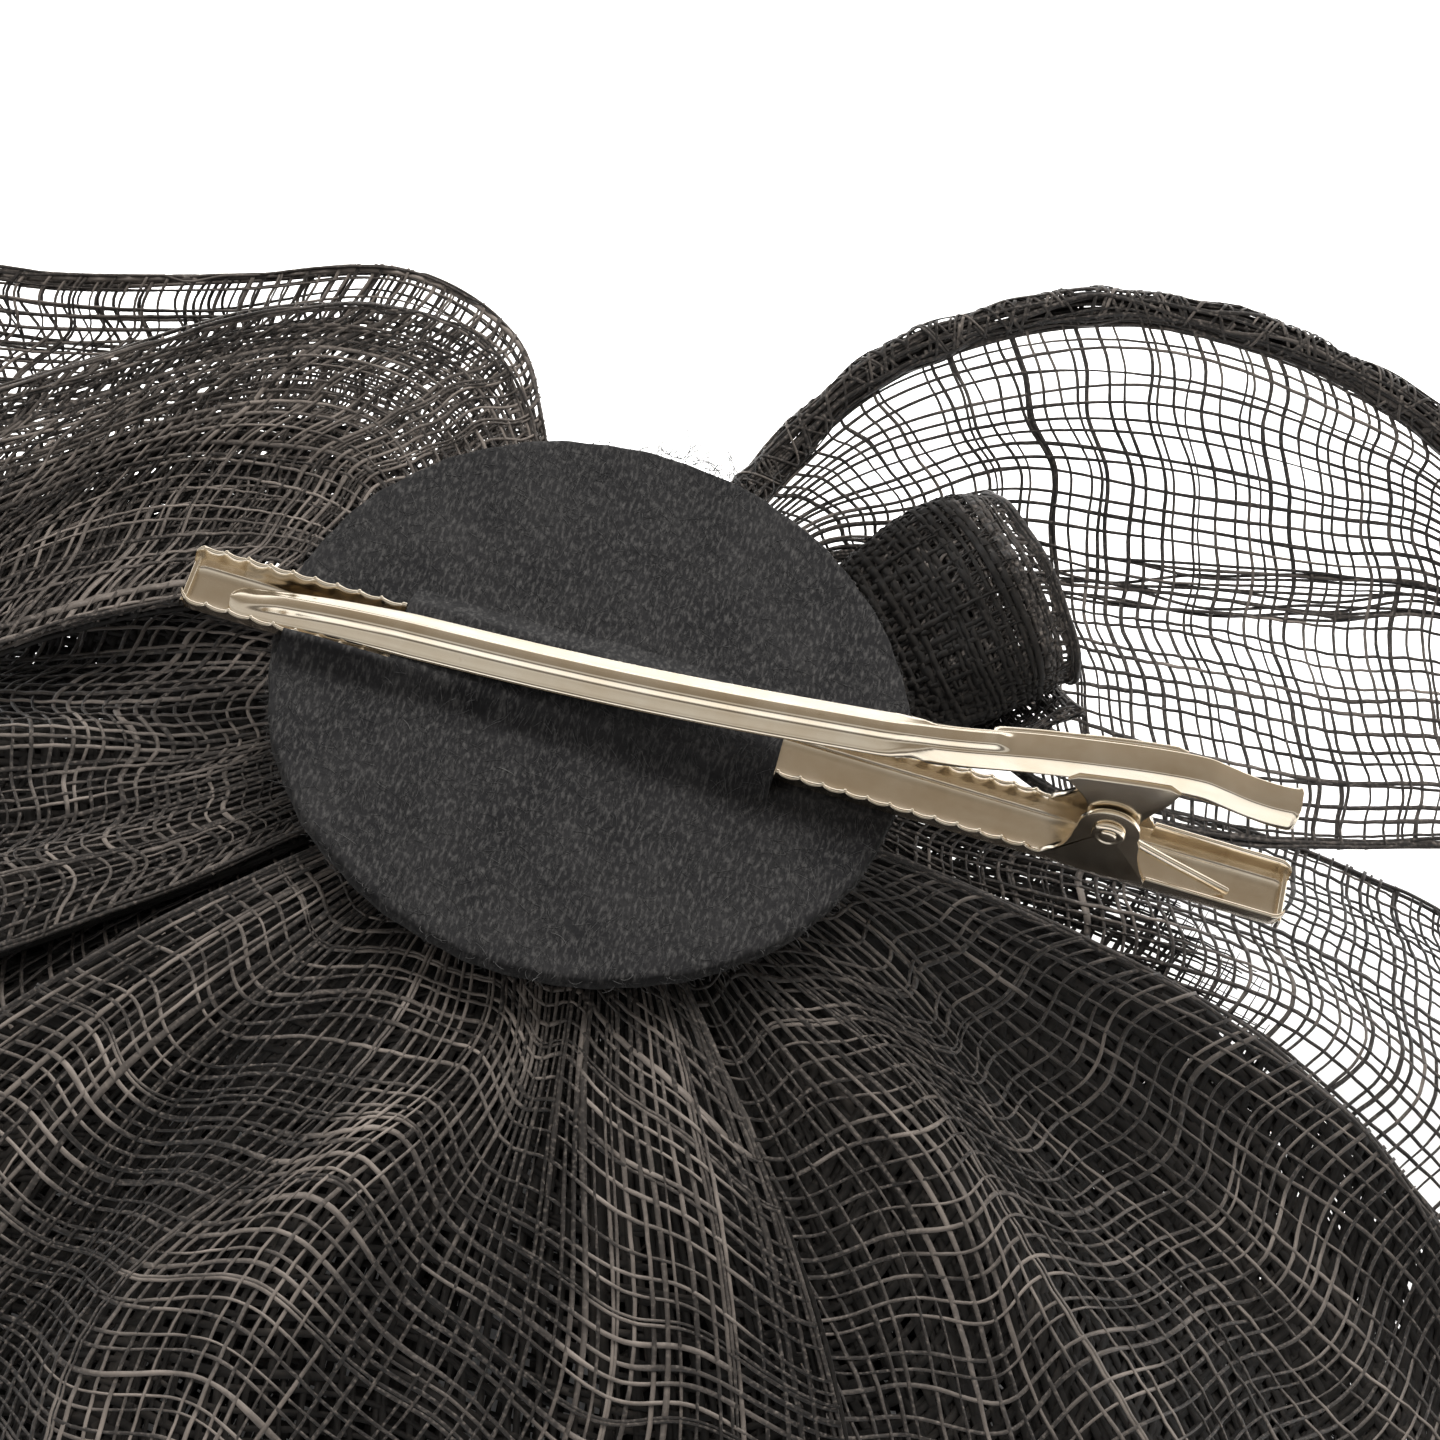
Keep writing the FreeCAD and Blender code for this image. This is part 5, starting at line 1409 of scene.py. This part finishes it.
# ------------------------------------------------------------------ lever
LEVER_LEFT, LEVER_RIGHT = -26.0, 47.8
LEVER_SKEW = math.radians(0.37)      # turn about Z at the pin
BLADE_LIFT = 0.2                     # top of the sheet above BLADE
# (x, z) along the thin blade
BLADE = [
    (-26, 0.46), (-24, 0.78), (-22, 1.15), (-20, 1.52), (-18, 1.85), (-16, 2.10),
    (-14, 2.33), (-12, 2.48), (-10, 2.62), (-8, 2.76), (-6, 2.92), (-4, 3.09), (-2, 3.29),
    (0, 3.50), (2, 3.74), (4, 4.00), (6, 4.29), (8, 4.59), (10, 4.91), (12, 5.25),
    (14, 5.61), (16, 5.97), (18, 6.34), (20, 6.71)]
# (x, z) of the handle's top
HANDLE_TOP = [
    (22.0, 7.45), (23.84, 7.92), (25.43, 8.42), (26.9, 8.94), (28.37, 9.47), (29.96, 10.02),
    (31.8, 10.58), (33.8, 11.14), (35.8, 11.68), (37.8, 12.16), (39.8, 12.55), (41.3, 12.7),
    (42.8, 12.38), (44.3, 12.05), (45.8, 11.93), (47.0, 12.02), (47.8, 12.2)]
# (x, z) of the lower edge of the handle's turned-down sides
SKIRT = [
    (22.0, 6.72), (23.84, 7.05), (25.43, 7.46), (26.9, 7.96), (28.37, 8.48), (29.96, 9.0),
    (31.8, 9.52), (33.8, 10.05), (35.8, 10.56), (37.8, 11.0), (39.8, 11.3), (41.3, 11.35),
    (42.8, 11.1), (44.3, 10.82), (45.8, 10.62), (47.0, 10.6), (47.8, 10.75)]
# (x, half width)
TAPER = [(-26.6, 1.15), (-25.6, 1.3), (-22, 1.55), (-17, 1.72), (-13, 1.85), (19.5, 1.85),
         (20.6, 1.85), (22.0, 1.62), (47.9, 1.6)]


def smoothed_profile():
    """The lever's top line at 0.1 mm steps, its kinks smoothed out."""
    table = np.array([(x, z + BLADE_LIFT) for x, z in BLADE] + HANDLE_TOP)
    xs = np.arange(-26, 47.81, 0.1)
    raw = np.interp(xs, table[:, 0], table[:, 1])
    window = np.hanning(19)[1:-1]
    smoothed = np.convolve(np.pad(raw, 8, mode="edge"), window / window.sum(), mode="valid")
    smoothed[:4], smoothed[-4:] = raw[:4], raw[-4:]
    return xs, smoothed


def skirt_depth(x):
    """How far the edges turn down below the top of the sheet."""
    blade = 0.42
    handle = table_at(HANDLE_TOP, x) - table_at(SKIRT, x)
    return blade + (handle - blade) * ease((x - 19.8) / 2.2)


def lever_section(x, top):
    """Half section (y, z): 24 points over the top, 8 round the edge, 12 back underneath."""
    half = table_at(TAPER, x)
    to_end = min(x - LEVER_LEFT, LEVER_RIGHT - x)
    nose, draw_in = (1.15, 0.72) if x < 0 else (0.55, 0.9)
    if to_end < nose:
        round_off = nose - math.sqrt(max(0.0, nose * nose - (nose - to_end) ** 2))
        half -= round_off * draw_in
    depth = skirt_depth(x)
    rib = 0.45 * ease((x + 25.6) / 3.4) * (1 - ease((x - 27.1) / 1.3))
    crown = 0.40 - 0.34 * ease((x - 19.5) / 3.5)    # the blade is crowned, the handle nearly flat
    roll = 0.30 + 0.25 * ease((x - 19.5) / 2.5)     # radius of the rolled shoulder

    def rib_rise(y):
        return rib * (1 - ease((abs(y) - 0.42) / 0.40))

    points = [(y, top + rib_rise(y) - crown * (y / half) ** 2)
              for y in np.linspace(0, half - roll, 15)]
    shoulder = top - crown * ((half - roll) / half) ** 2
    points += arc((half - roll, shoulder - roll), roll, 78, 6, 9)
    wall = shoulder - roll
    low = min(top - depth, wall - 0.02)
    points += [(half + 0.02 * q, wall + (low + 0.06 - wall) * q) for q in (0.3, 0.6, 0.85)]
    points += [(half, low + 0.05), (half - 0.07, low), (half - 0.2, low - 0.015),
               (half - 0.33, low), (half - 0.38, low + 0.06)]
    under = top - GAUGE
    for q in (0.3, 0.65, 0.9):
        if depth > 0.6:
            points.append((half - 0.38, low + 0.06 + (under - 0.35 - low - 0.06) * q))
        else:
            points.append((half - 0.38 - 0.05 * q,
                           low + 0.06 + (under + 0.02 - low - 0.06) * q * 0.6))
    points += [(y, under + rib_rise(y) * 0.8) for y in np.linspace(half - 0.55, 0, 9)]
    points = np.array(points)

    # along the handle the shoulders fall away in a broad slope before the short lip
    slope = ease((x - 21.0) / 2.5) * ease((47.9 - x) / 0.6)
    if slope > 0:
        y, z = points.T      # views, changed in place
        width = 0.62 * slope
        across = np.clip((y[:24] - (half - width)) / width, 0, 1)
        fall = 0.97 * slope * across ** 1.08
        z[:15] -= fall[:15]
        z[15:24] = z[15:24] * (1 - slope) + slope * (shoulder - fall[15:] + 0.02)
        y[15:24] -= 0.02 * slope * (1 - across[15:])
        z[24:27] = np.minimum(z[24:27], z[23] - 0.03 * np.array([1, 2, 3]))
    return points


def place_lever(verts):
    """Turn the lever a little about the pin and move it onto the clip's axis."""
    verts = np.array(verts, float)
    x, y = verts[:, 0] - PIN_X, verts[:, 1].copy()
    verts[:, 0] = PIN_X + x * math.cos(LEVER_SKEW) - y * math.sin(LEVER_SKEW)
    verts[:, 1] = x * math.sin(LEVER_SKEW) + y * math.cos(LEVER_SKEW) + CLIP_Y
    return verts


def lever_plate():
    xs = np.concatenate([np.linspace(LEVER_LEFT, -25.4, 8), np.linspace(-25.3, 47.0, 620),
                         np.linspace(47.1, LEVER_RIGHT, 8)])
    tops = np.interp(xs, *smoothed_profile())
    sections = [lever_section(x, top) for x, top in zip(xs, tops)]
    rows, columns = len(xs), len(sections[0])
    off, last = rows * columns, (rows - 1) * columns
    faces = np.concatenate([
        grid_quads(rows, columns, flip=True),
        grid_quads(rows, columns, first=off),
        section_cap(0, columns),
        section_cap(off, columns)[:, ::-1],
        section_cap(last, columns)[:, ::-1],
        section_cap(off + last, columns)])
    obj = make_object("clip_lever_plate", place_lever(mirrored_sweep(xs, sections, 0.0)),
                      faces, METAL, sharp=55)
    register(obj, replaces="clip_upper_lever", rides=LEVER)


def lever_ears():
    """Ears that hang from the handle round the pin, and a web on the far side."""
    def under_top(x, drop):
        return (x, table_at(HANDLE_TOP, x) - drop)

    # (x, z) down the left side, round the pin, up the right side and back under the handle
    ear = [under_top(32.4, 1.0), (32.9, 9.35), (33.4, 8.8), (33.95, 8.2), (34.3, 7.6),
           (34.5, 6.9)]
    ear += arc((PIN_X, PIN_Z), 1.7, 180, 360, 26)
    ear += [(38.1, 6.9), (38.25, 7.6), (38.6, 8.4), (39.0, 9.2), (39.4, 10.0),
            under_top(39.8, 1.0)]
    ear += [under_top(x, 0.62) for x in (39.0, 38.0, 37.0, 36.0, 35.0, 34.0, 33.0)]
    # (x, z) along the lower edge and back under the handle
    web = [under_top(27.0, 0.96), (28.2, 7.98), (30.0, 7.95), (31.8, 7.94), (33.2, 7.92),
           (34.1, 7.8), (34.4, 8.6), under_top(34.2, 0.9)]
    web += [under_top(x, 0.66) for x in (33.0, 32.0, 31.0, 30.0, 29.0, 28.0, 27.3)]
    bore, bevel = (PIN_X, PIN_Z, 0.86), 0.07
    verts, faces = join([plate(ear, -1.5, -1.88, bore, bevel),
                         plate(web, 1.49, 1.85, None, bevel),
                         plate(ear, 1.5, 1.88, bore, bevel)])
    obj = make_object("clip_lever_ears", place_lever(verts), faces, METAL, sharp=40)
    register(obj, rides=LEVER)


# ------------------------------------------------------------------ spring
def spring():
    """Wire coiled about the pin, one arm on the tray and one under the handle."""
    coil_radius, coil_half, wire_radius, sides = 1.40, 1.1, 0.33, 14
    start, sweep = -68.0, -(360.0 * 3 + 222.0)      # degrees
    # (x, y from the clip's axis, z)
    path = [(46.0, -0.72, 0.62), (43.6, -0.82, 1.55), (41.2, -0.94, 2.55), (38.9, -1.06, 3.58)]
    for k in range(181):
        t = k / 180
        angle = math.radians(start + sweep * t)
        path.append((PIN_X + coil_radius * math.cos(angle), -coil_half + 2 * coil_half * t,
                     PIN_Z + coil_radius * math.sin(angle)))
    path += [(38.9, 1.06, 8.6), (41.2, 0.92, 9.6), (43.4, 0.8, 10.5), (45.4, 0.72, 11.0)]
    path = resample(path, 460)
    relax(path, passes=3)
    path += [0, CLIP_Y, 0]
    run = unit(np.gradient(path, axis=0))
    side = unit(np.cross(run, (0.0, 1.0, 0.0)))
    other = np.cross(side, run)
    radii = np.full((len(path), 1), wire_radius)
    radii[0] = radii[-1] = 0.2
    angles = [2 * math.pi * k / sides for k in range(sides)]
    rings = np.stack([path + (side * math.cos(a) + other * math.sin(a)) * radii
                      for a in angles], 1)
    faces = grid_quads(len(path), sides, closed=True, flip=True).tolist()
    last = (len(path) - 1) * sides
    faces.append(list(range(sides)))
    faces.append(list(range(last + sides - 1, last - 1, -1)))
    obj = make_object("clip_spring_wire", rings.reshape(-1, 3), faces, METAL)
    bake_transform(obj)
    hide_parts("clip_spring")


# ------------------------------------------------------------------ floor, light, camera
def build_floor(lowest):
    """Flat sheet 0.5 mm below the lowest point, given in metres."""
    half, z = 3000.0, lowest / MM - 0.5
    corners = [(-half, -half, z), (half, -half, z), (half, half, z), (-half, half, z)]
    make_object("floor_sheet", corners, [(0, 1, 2, 3)], floor_material(),
                         smooth=False)


# place round the X axis (0 the +Y horizon, 0.5 overhead, 1 the -Y horizon), colour
SKY = [
    (0.0, (1.0, 1.0, 1.0)), (0.165, (1.0, 0.99, 0.98)), (0.215, (0.25, 0.215, 0.175)),
    (0.37, (0.15, 0.128, 0.102)), (0.44, (0.35, 0.335, 0.31)), (0.60, (0.42, 0.405, 0.385)),
    (0.70, (0.12, 0.11, 0.10)), (0.83, (0.11, 0.102, 0.095)), (0.905, (0.82, 0.81, 0.80)),
    (1.0, (0.95, 0.95, 0.95))]


def build_world():
    """Studio sky in bands parallel to the clip."""
    world = bpy.data.worlds.new("studio")
    bpy.context.scene.world = world
    world.use_nodes = True
    nodes, link = world.node_tree.nodes, world.node_tree.links.new

    def math_node(operation, source):
        node = nodes.new("ShaderNodeMath")
        node.operation = operation
        link(source, node.inputs[0])
        return node

    direction = nodes.new("ShaderNodeTexCoord")
    split = nodes.new("ShaderNodeSeparateXYZ")
    link(direction.outputs["Generated"], split.inputs["Vector"])
    angle = math_node("ARCTAN2", split.outputs["Z"])
    link(split.outputs["Y"], angle.inputs[1])
    size = math_node("ABSOLUTE", angle.outputs[0])
    share = math_node("DIVIDE", size.outputs[0])
    share.inputs[1].default_value = math.pi
    ramp = nodes.new("ShaderNodeValToRGB")
    fill_ramp(ramp.color_ramp, SKY)
    link(share.outputs[0], ramp.inputs["Fac"])
    background = nodes["Background"]
    link(ramp.outputs["Color"], background.inputs["Color"])
    background.inputs["Strength"].default_value = 1.55


def area_light(name, location, size, power, target=(0, 0, 0), color=(1, 1, 1)):
    """Rectangular light aimed at target, in metres and watts, unseen in reflections."""
    light = bpy.data.lights.new(name, "AREA")
    light.shape = "RECTANGLE"
    light.size, light.size_y = size
    light.energy = power
    light.color = color
    obj = bpy.data.objects.new(name, light)
    bpy.context.scene.collection.objects.link(obj)
    obj.location = location
    aim = Vector(target) - Vector(location)
    obj.rotation_euler = aim.to_track_quat("-Z", "Y").to_euler()
    obj.visible_glossy = False


def place_camera(view_angle, azimuth, elevation, roll, shift_right, shift_up, distance):
    """Camera turned in degrees about the origin from -Y, shifted in its own plane in mm."""
    a, e, r = (math.radians(angle) for angle in (azimuth, elevation, roll))
    back = Vector((math.sin(a) * math.cos(e), -math.cos(a) * math.cos(e), math.sin(e)))
    level = Vector((0, 0, 1)).cross(back).normalized()
    upright = back.cross(level)
    right = level * math.cos(r) + upright * math.sin(r)
    up = -level * math.sin(r) + upright * math.cos(r)
    data = bpy.data.cameras.new("photo_view")
    data.sensor_fit = "HORIZONTAL"
    data.angle = math.radians(view_angle)
    data.clip_start = 0.01
    data.clip_end = 20
    camera = bpy.data.objects.new("photo_view", data)
    bpy.context.scene.collection.objects.link(camera)
    matrix = Matrix((right, up, back)).transposed().to_4x4()
    matrix.translation = (back * distance + right * shift_right + up * shift_up) * MM
    camera.matrix_world = matrix
    bpy.context.scene.camera = camera


# ------------------------------------------------------------------ build
build_petals()
for loop_index, loop in enumerate(LEFT_LOOPS):
    left_loop(loop_index, *loop)
right_loop()
curled_cone()
right_loop_hem()
center_gen = np.random.default_rng(320)      # shared by the rosette and the core
rosette(center_gen)
core_pleats()
core_mesh(center_gen)
binding_thread()
build_felt()
tray()
tray_ends()
tray_ears()
pin()
lever_plate()
lever_ears()
spring()

visual_box = [[float(c) for c in corner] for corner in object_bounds()]

build_floor(visual_box[0][2])
build_world()
area_light("key", location=(0.02, 0.42, 0.72), size=(0.30, 0.30), power=12.0,
           color=(1.0, 0.99, 0.97))
area_light("fill", location=(-0.5, -0.35, 0.6), size=(0.6, 0.6), power=4.0)
area_light("back_floor", location=(0.0, 0.9, 0.9), size=(1.4, 0.8), power=26.0,
           target=(0.0, 0.55, -0.03))
place_camera(view_angle=22.0, azimuth=-0.168, elevation=55.129, roll=16.452,
             shift_right=8.847, shift_up=-1.58, distance=257.42)
view = bpy.context.scene.view_settings
view.view_transform = "Standard"
view.look = "None"
view.exposure = 0.0
